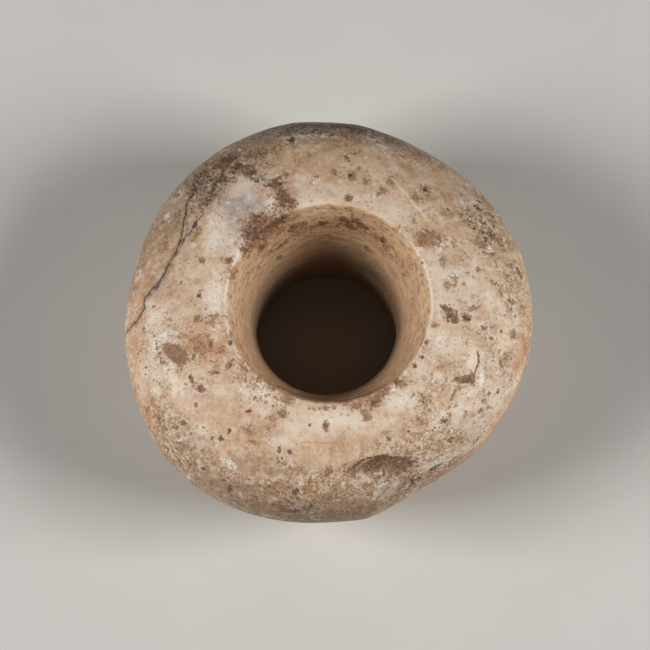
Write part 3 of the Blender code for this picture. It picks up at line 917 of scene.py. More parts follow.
WHITE = {
    1.0: ((489.5, 249.4, 9, 8),),
    # (228, 203.5) is a painted highlight on a pit
    0.9: ((393, 389.5, 7, 4, 10), (228, 203.5, 5, 3.5)),
    0.85: ((229, 463, 20, 6, -35), (455, 277, 13, 11)),
    0.8: ((180.3, 439.5, 13, 3, 20), (298, 484, 7, 5, 30), (497, 270, 24, 2.5, -3)),
    0.75: ((482, 378, 4, 15), (239, 256, 8, 12, 30), (271, 202, 6, 14, 10), (420, 250, 7, 8, 60)),
    0.7: ((262, 386, 12, 5, -30), (305, 135, 40, 2.5, 3)),
    0.66: ((403, 398, 18, 9, 40), (445, 462, 20, 6, 12)),
    0.65: ((155, 348, 10, 14, 20),),
    0.62: ((412, 404, 16, 12),),
    0.6: (
        (262, 392, 16, 6, -20), (244, 392, 12, 8, -20), (182, 352, 6, 14, 30), (171, 366, 16, 4, -45),
        (166, 369, 12, 6, -40), (251, 382, 8, 5), (297, 398, 10, 8), (382, 484, 14, 8),
        (300, 492, 14, 4, 10), (330, 137, 26, 3, 3), (382, 146, 26, 3, -25), (473, 372, 5, 9, -20),
        (214, 242, 14, 20), (375, 197, 16, 8, -20), (427, 458, 14, 7),
    ),
    0.58: ((442, 248, 10, 16), (307, 207, 12, 10)),
    0.56: ((216, 300, 16, 56),),
    0.55: (
        (160, 352, 4, 10), (360, 488, 10, 6), (338, 500, 12, 4), (500, 372, 8, 6), (507, 392, 6, 8),
        (483, 402, 6, 6), (448, 430, 8, 6), (420, 446, 8, 5), (316, 181, 12, 10), (440, 338, 14, 20),
    ),
    0.5: (
        (515, 381, 6, 3, 30), (290, 142, 20, 3, 8), (232, 240, 12, 12), (334, 421, 44, 9),
        (462, 340, 10, 16), (212, 222, 12, 20),
    ),
}
print(count_of(PALE), "pale and", count_of(WHITE), "white patches")

# %% Smaller kinds, and all of them put on
RED = {
    1.0: ((453.5, 394, 3, 15, -28), (449.8, 414.9, 4, 5), (500.5, 293, 3, 10, 15)),
    0.9: ((499, 270.6, 3, 3), (231, 334.7, 4, 8), (488, 407.4, 4, 4)),
    0.8: ((325.9, 426.5, 5, 8), (185.8, 384, 4, 4), (348, 198.5, 5, 6), (228.5, 260, 6, 5)),
    0.7: ((275, 397, 5, 4),),
    0.6: ((197, 348, 8, 6), (243, 260, 5, 4)),
}
SCAR_STAINS = {
    0.96: ((384, 465, 60, 15, 2),),
    0.86: ((392, 468, 44, 14, -4),),
    0.8: ((360, 469, 30, 9, 22), (408, 462, 24, 6, -8)),
    0.6: ((345, 473, 18, 7, 20),),
    0.5: ((380, 477, 30, 8, 4),),
}
SMOOTH = {
    1.0: (
        (330, 152, 96, 28, 2), (374, 162, 44, 30, -20), (335, 192, 80, 18), (388, 206, 56, 24, -40),
        (438, 288, 22, 80), (448, 338, 34, 40), (345, 422, 110, 34), (300, 442, 64, 40), (225, 428, 70, 64),
        (214, 228, 28, 48), (242, 188, 34, 26), (238, 210, 26, 40, 20),
    ),
    0.9: (
        (428, 186, 70, 28, -42), (464, 232, 18, 44, 20), (402, 398, 34, 26, 30), (250, 462, 70, 30, -20),
        (330, 458, 70, 22), (217, 300, 22, 66),
    ),
    0.8: ((190, 402, 40, 40), (482, 285, 40, 80), (450, 240, 30, 40), (445, 180, 60, 40, -40)),
    0.7: ((466, 292, 26, 40), (152, 270, 26, 80, -20), (476, 352, 22, 50, 10)),
    0.6: ((415, 150, 40, 22, -35), (184, 310, 24, 30), (500, 335, 34, 50)),
}
SPECKLED = {
    1.0: (
        (330, 497, 190, 36), (404, 488, 70, 30, 28), (150, 405, 26, 96, 20), (182, 446, 46, 50, -40),
        (252, 390, 64, 26, -22), (210, 172, 66, 50, 25), (320, 134, 170, 14), (412, 138, 96, 18, -24),
    ),
    0.9: ((200, 347, 62, 50), (165, 345, 30, 60)),
    0.8: ((432, 458, 60, 28, 25), (366, 190, 90, 20, -20), (280, 240, 40, 30)),
    0.62: ((462, 440, 80, 40, 42),),
    0.5: ((512, 300, 20, 110),),
    0.4: ((488, 228, 20, 36, -25),),
}
CRACK_PITS = {0.75: ((157, 287, 17, 4, 52),), 0.7: ((150.5, 295, 8, 3.5, 60),)}
INCLUSION = (  # x, y, length, breadth, turn, raggedness
    (175.4, 353.3, 30, 16.5, -31, 0.06),
    (462, 379, 20, 6, 4, 0.1),
    (468, 379, 13, 9, 0, 0.1),
    (471.5, 379, 8, 12, 0, 0.1),
)
INCLUSION_DEPTH = 0.07
STAINS = {
    "dirt_and_shade": DIRT_AND_SHADE, "brown": BROWN, "dark": DARK, "orange": ORANGE, "grey": GREY, "pale": PALE, "white": WHITE,
    "red": RED, "soot": SOOT, "smooth": SMOOTH, "speckled": SPECKLED, "scar": SCAR_STAINS, "line": CRACK_PITS,
}
STAIN_DEPTHS = {"brown": 0.06, "dark": 0.1, "soot": 0.1, "white": 0.06, "red": 0.08}
FULL_DEPTH_BREADTH = 10  # in pixels; narrower stains are shallower
STAIN_RAGGED = {
    "brown": 0.18, "dark": 0.18, "white": 0.2, "dirt_and_shade": 0.2, "smooth": 0.25, "speckled": 0.25, "scar": 0.15,
}
for kind, table in STAINS.items():
    for strength, marks in table.items():
        for x, y, length, breadth, *turn in marks:
            depth = STAIN_DEPTHS.get(kind, 0.0) * min(1.0, breadth / FULL_DEPTH_BREADTH)
            look = {"depth": depth, "strength": strength, "ragged": STAIN_RAGGED.get(kind, RAGGED)}
            picture_mark(kind, x, y, length, breadth, *turn, **look)
for *mark, ragged in INCLUSION:
    picture_mark("inclusion", *mark, depth=INCLUSION_DEPTH, ragged=ragged)
print({kind: int((field > 0.5).sum()) for kind, field in fields.items()}, "points marked")

# %% [markdown]
# ## The sides that don't show
# Nobody can see in the photograph what the girth, the underside and the far side of the lower bore look
# like. They get the same kinds of stain, at random from a fixed seed, but fewer and plainer, and a few chips
# where the worn ring and the lower mouth would have been knocked.

# %% Stains and chips out of view
HIDDEN_SEED = 19
HIDDEN_STAINS = (  # kind, how many, least and most half length in mm
    ("dirt_and_shade", 18, 4.0, 9.0),
    ("orange", 10, 2.0, 5.0),
    ("pale", 24, 1.2, 4.5),
    ("grey", 5, 1.5, 4.0),
    ("brown", 60, 0.5, 2.2),
    ("dark", 34, 0.3, 1.1),
    ("white", 12, 0.3, 0.8),
)
LOWER_CHIPS = (  # bearing, radius, length, breadth, depth
    (28, 17.5, 7, 3.0, 0.4),
    (112, 26.5, 9, 3.5, 0.5),
    (203, 17.2, 5, 2.4, 0.3),
    (291, 27.0, 6, 3.0, 0.4),
)
HOLE_SHARE = 0.6  # how much of the hole counts as seen, although it faces away
OUT_OF_VIEW = (0.2, 0.2)  # how far a place may face the camera, and how wide that fades
HIDDEN_BREADTH = (0.45, 0.9)  # least and most, as a share of the length
HIDDEN_STRENGTH = 0.6  # at least
FOOT_CLOSENESS = 3  # how much more a row's height counts than its radius in finding a chip's place
SLANTED_WAY = (0.3, 0.2, 0.93)  # any direction that marks can be turned from
chance = np.random.default_rng(HIDDEN_SEED)
cell_area = row_gap[None, :] * np.hypot(skin[..., 0], skin[..., 1]) * math.tau / COLUMNS
facing_view = outward @ np.array(view_back)
out_of_view = fading(facing_view, *OUT_OF_VIEW) * (1 - HOLE_SHARE * in_hole) * cell_area


def drawn(count, weights):
    """Random points of the net, the likelier the greater their weight."""
    weights = weights.ravel()
    return chance.choice(weights.size, count, p=weights / weights.sum())


def random_mark(kind, index, long_half, short_half, depth, least_strength, ragged=RAGGED):
    """A mark at a point of the net, turned at random."""
    column, row = divmod(int(index), ROWS)
    place, normal = skin[column, row], outward[column, row]
    turn = chance.uniform(0, math.tau)
    side = np.cross(normal, SLANTED_WAY)
    side = side / np.linalg.norm(side)
    along = side * math.cos(turn) + np.cross(normal, side) * math.sin(turn)
    across = np.cross(normal, along)
    strength = chance.uniform(least_strength, 1.0)
    spread_mark(kind, place, normal, along * long_half, across * short_half, depth, strength, ragged)


for kind, count, least, most in HIDDEN_STAINS:
    for index in drawn(count, out_of_view):
        half = chance.uniform(least, most)
        narrower = half * chance.uniform(*HIDDEN_BREADTH)
        random_mark(kind, index, half, narrower, STAIN_DEPTHS.get(kind, 0.0), HIDDEN_STRENGTH)
for bearing, radius, *sizes in LOWER_CHIPS:
    column = round(bearing / 360 * COLUMNS)
    row = int(np.argmin(np.hypot(rows[:, 0] - radius, rows[:, 1] * FOOT_CLOSENESS)))
    normal = outward[column, row]
    hollow(skin[column, row], normal, np.cross(normal, direction(bearing)), *sizes)
print(sum(count for _, count, _, _ in HIDDEN_STAINS), "stains and", len(LOWER_CHIPS), "chips out of view")

# %% [markdown]
# ## Cracks and scratches
# A dark crack runs up the left side and forks, and it goes on down the side that the photograph doesn't
# show. It is a curve through a few pixels, which the lumps disturb, because a crack follows the grains of the
# stone and never runs clean. A painted line could show it too, but wouldn't cut into the skin. Scratches are
# the same thing, shallower and pale, because they are fresher.

# %% Lines
CRACK = (
    (127, 331), (135, 322.5), (142.6, 312.4), (145.4, 300), (149.5, 292), (161, 281), (165.2, 271.3),
    (171.4, 259), (179, 244), (183, 230), (185.8, 213.7), (187.2, 203), (191, 196), (194, 190), (193, 182),
    (197, 174),
)
CRACK_TWIN = ((161, 279), (172, 262), (183, 243.5), (187, 232), (190, 214), (196, 204), (203, 192))
CRACK_END = ((191, 196), (195, 185), (198, 177), (208, 163))
CRACK_BRANCH = ((180.3, 242.5), (188.6, 234.3), (194.7, 224.7), (199.5, 219.2), (205, 211))
BRANCH_END = ((204, 210), (210, 196), (216.5, 187), (223, 172), (225, 163))
# painted shadow: a dark line under the scar's sharp upper edge
SCAR_EDGE_SHADOW = ((354, 466), (363, 459.5), (376, 456.5), (392, 457), (406, 459.5), (416, 461))
SCRATCHES = (
    ((379.8, 146.5), (390, 160), (399, 172.6)),
    ((400.4, 158.2), (413.4, 165.7)),
    ((255.7, 472.5), (267, 476), (279, 480)),
    ((456.6, 243.5), (464, 252)),
    ((233, 348), (243, 362), (256, 376), (268, 386)),
    ((164, 441), (172, 454), (179, 466)),
    ((169, 441), (178, 455), (187, 468)),
    ((176, 449), (186, 462)),
    ((470, 441), (487, 428), (501, 415)),
    ((462, 456), (480, 441), (493, 430)),
    ((486, 270.5), (509, 269.3)),
    ((243, 392), (262, 397), (285, 405)),
)
LINES = (  # kind, pixels, half width, depth, wobble, strength
    ("dirt_and_shade", CRACK, 0.8, 0.0, 0.3, 1.0),
    ("line", CRACK, 0.2, 0.12, WOBBLE, 1.0),
    ("line", CRACK_BRANCH, 0.16, 0.1, 0.3, 0.9),
    ("line", CRACK_TWIN, 0.13, 0.06, 0.3, 0.75),
    ("soot", CRACK_END, 0.3, 0.03, 0.4, 0.85),
    ("soot", BRANCH_END, 0.36, 0.03, 0.4, 0.8),
    ("dark", ((477.2, 351), (478.6, 362), (475.8, 370.3), (473.8, 374.4)), 0.19, 0.15, 0.1, 1.0),
    ("dark", ((491.6, 253.5), (496.4, 265.8)), 0.16, 0.1, 0.1, 0.9),
    ("dark", ((459.4, 246.6), (471.7, 260.3)), 0.13, 0.06, 0.1, 0.8),
    ("dark", SCAR_EDGE_SHADOW, 0.2, 0.05, 0.15, 0.95),
    ("orange", ((303.7, 442.3), (320, 442.8), (343, 443.2)), 0.2, 0.05, 0.05, 1.0),
    ("scratch", ((392.2, 178), (399, 186.3), (418.2, 209.6), (429.2, 222)), 0.23, 0.1, 0.06, 1.0),
    *(("scratch", pixels, 0.14, 0.06, 0.08, 0.85) for pixels in SCRATCHES),
)
LOWER_CRACK = ((6.0, 1.0), (12.0, 0.0), (17.0, 2.5), (21.0, 1.5))  # mm down and degrees round
LOWER_CRACK_SIZES = (0.18, 0.12)  # half width and depth
for line in LINES:
    picture_line(*line)

crack_end = on_stone(CRACK[0])[0]
crack_bearing = math.degrees(math.atan2(crack_end[1], crack_end[0]))
side_column = round(crack_bearing / 360 * COLUMNS)
lower_crack = [crack_end]
for drop, drift in LOWER_CRACK:
    column = skin[(side_column + round(drift / 360 * COLUMNS)) % COLUMNS]
    outer = np.where(from_mouth > 0, np.abs(column[:, 2] - (crack_end[2] - drop)), math.inf)
    lower_crack.append(column[np.argmin(outer)])
spread_line("line", lower_crack, *LOWER_CRACK_SIZES)
print(len(LINES), "lines; the crack goes on down to", np.round(lower_crack[-1], 1))

# %% [markdown]
# ## Pits
# Very many small brown pits and larger spots cover the stone, in drifts. Their places are random, from a
# fixed seed so that every run gives the same stone. A soft noise and the smooth and speckled zones make them
# crowd in some places and leave others bare. The polished band round the hole has few.

# %% Scatter pits
PIT_SEED = 7
PIT_TRIES = 1400
PIT_HALF = 0.18  # usual half breadth in mm
PIT_DEPTH = 0.25  # in half breadths
PIT_RAGGED = 0.3
PIT_SPREAD = 0.5  # how much their sizes differ
PIT_LENGTH = (1.0, 1.9)  # least and most, in breadths
PIT_STRENGTH = 0.45  # at least
PIT_DRIFTS = ((0.75, 9.0, 21), (0.45, 3.5, 22))  # weight, size in mm and seed
PIT_MIDDLE, FEWEST_PITS = 0.55, 0.02
PIT_ZONES = (0.65, 0.55, 0.3)  # less by these on the polish and in smooth zones, more in speckled ones
PITS_GONE_IN_HOLE = 0.7
POLISH_BAND = (3.0, 4.5)  # middle and half width, in mm outwards from the mouth's edge
ZONE_EDGE = (0.2, 0.45)  # where in its field a zone starts, and how wide its edge is
chance = np.random.default_rng(PIT_SEED)
polish = band(*POLISH_BAND)[None, :] * (from_mouth > 0)[None, :]
smooth, speckled = (growing(fields.pop(kind), *ZONE_EDGE) for kind in ("smooth", "speckled"))


def zoned(value, on_polish, in_smooth, in_speckled):
    """A value made less on the polish and in the smooth zones, and more in the speckled ones."""
    return value - on_polish * polish - in_smooth * smooth + in_speckled * speckled


drifts = sum((weight * lumps(skin, size, seed) for weight, size, seed in PIT_DRIFTS), PIT_MIDDLE)
crowding = np.clip(zoned(drifts, *PIT_ZONES), FEWEST_PITS, 1.0) * (1 - PITS_GONE_IN_HOLE * in_hole)
for index in drawn(PIT_TRIES, cell_area * crowding):
    half = PIT_HALF * math.exp(chance.normal(0.0, PIT_SPREAD))
    longer = half * chance.uniform(*PIT_LENGTH)
    random_mark("pit", index, longer, half, half * PIT_DEPTH, PIT_STRENGTH, PIT_RAGGED)
print(PIT_TRIES, "small pits")

# %% Scatter larger spots
SPOTS = (  # kind, how many, usual half length in mm
    ("orange", 60, 0.9),
    ("pale", 130, 0.65),
    ("brown", 150, 0.5),
    ("dark", 60, 0.32),
    ("white", 60, 0.3),
)
SPOT_SPREAD = 0.35
SPOT_LENGTH = (1.0, 2.0)
SPOT_STRENGTH = 0.7
SPOTS_ANYWHERE = 0.04  # the weight of a place that isn't weathered at all
WEATHER_DRIFT = (12.0, 31)  # size in mm and seed
WEATHER_WEIGHTS = (0.5, 0.4, 0.2)  # everywhere, of the drift and of the coarse lumps
WEATHER_ZONES = (0.4, 0.9, 0.55)
everywhere, drifting, lumpy = WEATHER_WEIGHTS
weathered = everywhere + drifting * lumps(skin, *WEATHER_DRIFT) + lumpy * ruffle_coarse
weathered = np.clip(zoned(weathered, *WEATHER_ZONES), 0.0, 1.0) * (1 - in_hole)
for kind, count, usual in SPOTS:
    for index in drawn(count, cell_area * (weathered + SPOTS_ANYWHERE) * (1 - in_hole)):
        half = usual * math.exp(chance.normal(0.0, SPOT_SPREAD))
        longer = half * chance.uniform(*SPOT_LENGTH)
        random_mark(kind, index, longer, half, STAIN_DEPTHS.get(kind, 0.0), SPOT_STRENGTH, PIT_RAGGED)
print(sum(count for _, count, _ in SPOTS), "larger spots where the stone is weathered")

# %% [markdown]
# ## The relief
# Everything that has a depth now goes into one relief: long hand-ground waves, the battered straight side,
# the weathered grain, fine rings left by the drill in the hole, and the marks above. The points move along
# their normals. The net is then closed into a mesh, and a Decimate modifier thins it: it removes points
# where the surface is smooth and keeps them where a pit or a crack needs them, which spends a limited
# number of triangles far better than an even net.

# %% Move the skin and thin the mesh
TRIANGLES = 197000
EXPENDABLE_LEVELS = 4
LONG_WAVE, SHORT_WAVE = 0.10, 0.05  # heights in mm, as are the next ones
GRAIN, FINE_GRAIN = 0.022, 0.014
BATTERED = (0.06, 0.08, 0.05)
BACK_ROUGHNESS = 0.04
RINGS, BORE_GRAIN = 0.016, 0.02
MOUTH_EDGE = 0.07
WAVES_GONE_IN_HOLE = 0.7
GRAIN_EVERYWHERE = 0.35  # added to how weathered a place is
MOUTH_LUMPS, MOUTH_BAND = (2.0, 61), (0.0, 0.8)
SEEN_KEPT = (0.3, 0.3)  # how far a place may face the camera and be expendable, and how wide that fades
EXPENDABLE_LEAST = 0.25
FULLY_BATTERED, FULLY_GROUND = 2.0, 0.2  # how far a side went in where it is roughest
rough_side = ease(straight_depth / FULLY_BATTERED)
rough_back = ease(back_depth / FULLY_GROUND)
rings = lumps(skin * [0.12, 0.12, 1.0], 0.5, 41) + 0.7 * lumps(skin * [0.08, 0.08, 1.0], 1.3, 42)
waves = LONG_WAVE * lumps(skin, 16.0, 51) + SHORT_WAVE * lumps(skin, 6.0, 52)
grain = GRAIN * ruffle_medium + FINE_GRAIN * ruffle_fine
battered = BATTERED[0] * ruffle_coarse + BATTERED[1] * ruffle_medium + BATTERED[2] * ruffle_fine
total = waves * (1 - WAVES_GONE_IN_HOLE * in_hole)
total += grain * (GRAIN_EVERYWHERE + weathered) * (1 - in_hole)
total += battered * rough_side + BACK_ROUGHNESS * ruffle_coarse * rough_back
total += (RINGS * rings + BORE_GRAIN * ruffle_medium) * in_hole
total += MOUTH_EDGE * lumps(skin, *MOUTH_LUMPS) * band(*MOUTH_BAND)[None, :]
moved = skin + outward * (relief + total)[..., None]
moved[..., 2] = np.maximum(moved[..., 2], 0.0)
depths = np.round([(relief + total).min(), (relief + total).max()], 2)
print("relief from", depths[0], "to", depths[1], "mm")


def net_mesh(name, net):
    """A closed mesh of quads from a net that meets itself both ways."""
    columns, row_count = net.shape[:2]
    index = np.arange(columns * row_count).reshape(columns, row_count)
    beside, below = np.roll(index, -1, 0), np.roll(index, -1, 1)
    corner = np.roll(beside, -1, 1)
    quads = np.stack([index, below, corner, beside], -1).reshape(-1, 4)
    mesh = bpy.data.meshes.new(name)
    mesh.vertices.add(index.size)
    mesh.vertices.foreach_set("co", (net * MM).astype(np.float32).ravel())
    mesh.loops.add(quads.size)
    mesh.loops.foreach_set("vertex_index", quads.astype(np.int32).ravel())
    mesh.polygons.add(len(quads))
    mesh.polygons.foreach_set("loop_start", np.arange(0, quads.size, 4, dtype=np.int32))
    mesh.update(calc_edges=True)
    return mesh


def add_field(mesh, name, values):
    attribute = mesh.attributes.new(name, "FLOAT", "POINT")
    attribute.data.foreach_set("value", np.ascontiguousarray(values, np.float32).ravel())


def thinned(mesh, triangles, expendable):
    """The mesh as a new one with about this many triangles, fewer of them where it is expendable."""
    holder = bpy.data.objects.new("net", mesh)
    bpy.context.scene.collection.objects.link(holder)
    group = holder.vertex_groups.new(name="expendable")
    levels = np.round(expendable.ravel() * EXPENDABLE_LEVELS).astype(int)
    for level in range(1, EXPENDABLE_LEVELS + 1):
        group.add(np.flatnonzero(levels == level).tolist(), level / EXPENDABLE_LEVELS, "REPLACE")
    decimate = holder.modifiers.new("thin", "DECIMATE")
    decimate.vertex_group = group.name
    decimate.vertex_group_factor = 1.0
    decimate.ratio = triangles / (2 * len(mesh.polygons))
    graph = bpy.context.evaluated_depsgraph_get()
    result = bpy.data.meshes.new_from_object(holder.evaluated_get(graph))
    bpy.data.objects.remove(holder)
    bpy.data.meshes.remove(mesh)
    return result


net = net_mesh("net", moved)
for kind, field in fields.items():
    add_field(net, kind, field)
add_field(net, "from_mouth", np.tile(from_mouth, (COLUMNS, 1)))
add_field(net, "in_hole", in_hole)
add_field(net, "weathered", weathered)
turned_away = fading(facing_view, *SEEN_KEPT) * (1 - HOLE_SHARE * in_hole)
expendable = EXPENDABLE_LEAST + (1 - EXPENDABLE_LEAST) * turned_away
stone_mesh = thinned(net, TRIANGLES, expendable)
stone_mesh.name = "worn_stone"
stone_mesh.shade_smooth()
stone = bpy.data.objects.new("worn_stone", stone_mesh)
bpy.context.scene.collection.objects.link(stone)
triangle_count = sum(len(p.vertices) - 2 for p in stone_mesh.polygons)
print(len(stone_mesh.vertices), "points and", triangle_count, "triangles in the thinned skin")

# %% [markdown]
# ## Shader helpers
# A material is a graph of nodes. These small helpers add one node each and return its output, so that the
# lines below read almost like formulas. A value that varies over the surface is a link, and a plain number
# is set on the socket itself.

# %% Add and join nodes
def feed(tree, socket, value):
    if isinstance(value, bpy.types.NodeSocket):
        tree.links.new(value, socket)
    elif value is not None:
        socket.default_value = value


def math_node(tree, operation, first, second=None):
    node = tree.nodes.new("ShaderNodeMath")
    node.operation = operation
    feed(tree, node.inputs[0], first)
    feed(tree, node.inputs[1], second)
    return node.outputs[0]


def times(tree, first, second):
    return math_node(tree, "MULTIPLY", first, second)


def between(tree, value, low, high, to_low=0.0, to_high=1.0):
    """Maps a value smoothly from one range to another."""
    node = tree.nodes.new("ShaderNodeMapRange")
    node.interpolation_type = "SMOOTHSTEP"
    for socket, item in zip(node.inputs[:5], (value, low, high, to_low, to_high)):
        feed(tree, socket, item)
    return node.outputs[0]


def scaled(tree, place, factors):
    node = tree.nodes.new("ShaderNodeVectorMath")
    node.operation = "MULTIPLY"
    feed(tree, node.inputs[0], place)
    feed(tree, node.inputs[1], factors)
    return node.outputs[0]


def noise(tree, place, scale, detail, roughness):
    node = tree.nodes.new("ShaderNodeTexNoise")
    for name, value in (("Vector", place), ("Scale", scale), ("Detail", detail), ("Roughness", roughness)):
        feed(tree, node.inputs[name], value)
    return node.outputs["Fac"]


def laid(tree, under, over, mask, strength=1.0):
    """One colour laid over another by a mask, at a strength that is a number or varies too."""
    node = tree.nodes.new("ShaderNodeMix")
    node.data_type = "RGBA"
    share = mask if strength == 1.0 else times(tree, mask, strength)
    for index, value in ((0, share), (6, under), (7, over)):
        feed(tree, node.inputs[index], value)
    return node.outputs[2]


def field_node(tree, name):
    node = tree.nodes.new("ShaderNodeAttribute")
    node.attribute_name = name
    return node.outputs["Fac"]


def colour(red, green, blue):
    """A colour from its three values out of 255, as the shader's linear one."""
    return (*(((c / 255 + 0.055) / 1.055) ** 2.4 for c in (red, green, blue)), 1.0)


print("pale buff is", [round(c, 3) for c in colour(205, 182, 158)[:3]])

# %% [markdown]
# ## Node groups
# Two effects come back again and again with other values: a mask with a ragged edge made from a field, and
# random specks. Each is a node group with named inputs and one output, built once.

# %% Build the groups
EDGE_GRAIN = (4.0, 0.65)  # detail and roughness of the noise that frays an edge
SPECK_BEND_SCALE = 2.3  # of the noise that bends the specks, in their own scales
SPECK_BEND = (0.35, 0.35, 0.35)
SPECK_LEAST = 0.4  # added to each speck's random size


def new_group(name, inputs):
    """An empty node group with number inputs, a Place input and one number output."""
    tree = bpy.data.node_groups.new(name, "ShaderNodeTree")
    tree.interface.new_socket("Place", in_out="INPUT", socket_type="NodeSocketVector")
    for label, default in inputs:
        socket = tree.interface.new_socket(label, in_out="INPUT", socket_type="NodeSocketFloat")
        socket.default_value = default
    tree.interface.new_socket("Mask", in_out="OUTPUT", socket_type="NodeSocketFloat")
    start = tree.nodes.new("NodeGroupInput")
    end = tree.nodes.new("NodeGroupOutput")
    return tree, start.outputs, end.inputs[0]


def ragged_group():
    inputs = (("Field", 0.0), ("Scale", 2.0), ("Raggedness", 0.3), ("Softness", 0.1))
    tree, given, out = new_group("Ragged edge", inputs)
    rough = noise(tree, given["Place"], given["Scale"], *EDGE_GRAIN)
    swing = times(tree, math_node(tree, "SUBTRACT", rough, 0.5), given["Raggedness"])
    disturbed = math_node(tree, "ADD", given["Field"], swing)
    low = math_node(tree, "SUBTRACT", 0.5, given["Softness"])
    high = math_node(tree, "ADD", 0.5, given["Softness"])
    feed(tree, out, between(tree, disturbed, low, high))
    return tree


def specks_group():
    inputs = (("Scale", 1.5), ("Share", 0.2), ("Size", 0.25), ("Softness", 0.1))
    tree, given, out = new_group("Specks", inputs)
    bent = tree.nodes.new("ShaderNodeTexNoise")
    feed(tree, bent.inputs["Vector"], given["Place"])
    feed(tree, bent.inputs["Scale"], times(tree, given["Scale"], SPECK_BEND_SCALE))
    shift = scaled(tree, bent.outputs["Color"], SPECK_BEND)
    moved_place = tree.nodes.new("ShaderNodeVectorMath")
    feed(tree, moved_place.inputs[0], given["Place"])
    feed(tree, moved_place.inputs[1], shift)
    cells = tree.nodes.new("ShaderNodeTexVoronoi")
    feed(tree, cells.inputs["Vector"], moved_place.outputs[0])
    feed(tree, cells.inputs["Scale"], given["Scale"])
    picked = tree.nodes.new("ShaderNodeSeparateColor")
    feed(tree, picked.inputs[0], cells.outputs["Color"])
    here = math_node(tree, "LESS_THAN", picked.outputs[0], given["Share"])
    size = times(tree, given["Size"], math_node(tree, "ADD", picked.outputs[1], SPECK_LEAST))
    edge = math_node(tree, "ADD", size, given["Softness"])
    inside = between(tree, cells.outputs["Distance"], size, edge, 1.0, 0.0)
    feed(tree, out, times(tree, here, inside))
    return tree


GROUPS = {tree.name: tree for tree in (ragged_group(), specks_group())}


def effect(tree, name, place, **values):
    """One use of a node group, with its own values."""
    node = tree.nodes.new("ShaderNodeGroup")
    node.node_tree = GROUPS[name]
    feed(tree, node.inputs["Place"], place)
    for label, value in values.items():
        feed(tree, node.inputs[label], value)
    return node.outputs[0]


print("node groups:", sorted(GROUPS))

# %% [markdown]
# ## The stone's material
# The ground colour is a pale buff with cream and tan clouds in it, and a fine brown mottle where the surface
# is weathered. Over it lie the stains, each from its field, the browner wall of the hole with the drill's
# rings, the pits, the crack and the scratches. One image painted by hand could do this too, but wouldn't stay
# sharp close up. Noise and fields do. The gloss follows the finest grain, which stands out where the stone is
# weathered.

# %% Colours of the stone
CREAM = colour(222, 204, 184)
BUFF = colour(207, 184, 161)
TAN = colour(188, 159, 132)
OLIVE = colour(190, 171, 138)
PINK = colour(205, 172, 152)
YELLOW = colour(204, 180, 138)
ROSE = colour(208, 170, 158)
# browner side, with painted shade in front and behind
SIDE_BROWN_AND_SHADE = colour(138, 114, 94)
MOTTLE = colour(161, 128, 99)
MOTTLE_DEEP = colour(130, 101, 78)
# pale grains, also used for painted glints
PALE_GRAIN_AND_GLINT = colour(236, 223, 206)
DIRT_AND_SHADE_LIGHT = colour(178, 151, 127)
DIRT_AND_SHADE_DEEP = colour(142, 118, 98)
BROWN_LIGHT = colour(182, 148, 119)
BROWN_DEEP = colour(142, 110, 87)
DARK_LIGHT = colour(148, 120, 99)
DARK_DEEP = colour(108, 85, 71)
SOOT_LIGHT = colour(130, 110, 86)
SOOT_DEEP = colour(90, 74, 56)
PEACH = colour(214, 184, 156)
ORANGE_STAIN = colour(199, 155, 116)
GREY_STAIN = colour(190, 183, 179)
GREY_DEEP = colour(174, 164, 158)
PALE_STAIN = colour(230, 220, 206)
RED_STAIN = colour(150, 100, 82)
INCLUSION_LIGHT = colour(166, 133, 102)
INCLUSION_DEEP = colour(140, 110, 82)
PIT_LIGHT = colour(166, 132, 100)
PIT_DEEP = colour(112, 86, 68)
CRACK_COLOUR = colour(94, 82, 80)
# white chips, also used for painted glints
WHITE_CHIP_AND_GLINT = colour(232, 224, 216)
WALL_COLOUR = colour(214, 187, 160)
WALL_DARK = colour(172, 143, 115)
WALL_STROKE = colour(156, 122, 91)
WALL_PALE = colour(232, 208, 182)
# painted light near the mouth of the hole, and painted shade deep in it
WALL_MOUTH_LIGHT = colour(236, 206, 168)
WALL_DEEP_SHADE = colour(168, 145, 120)
# painted shade at the waist of the hole
WAIST_SHADE = colour(88, 71, 52)
# worn pale edge and painted highlight along the mouth
RIM_WEAR_AND_HIGHLIGHT = colour(238, 226, 209)
SCAR_LIGHT = colour(160, 130, 108)
SCAR_DEEP = colour(132, 104, 86)
OCHRE = colour(172, 138, 104)

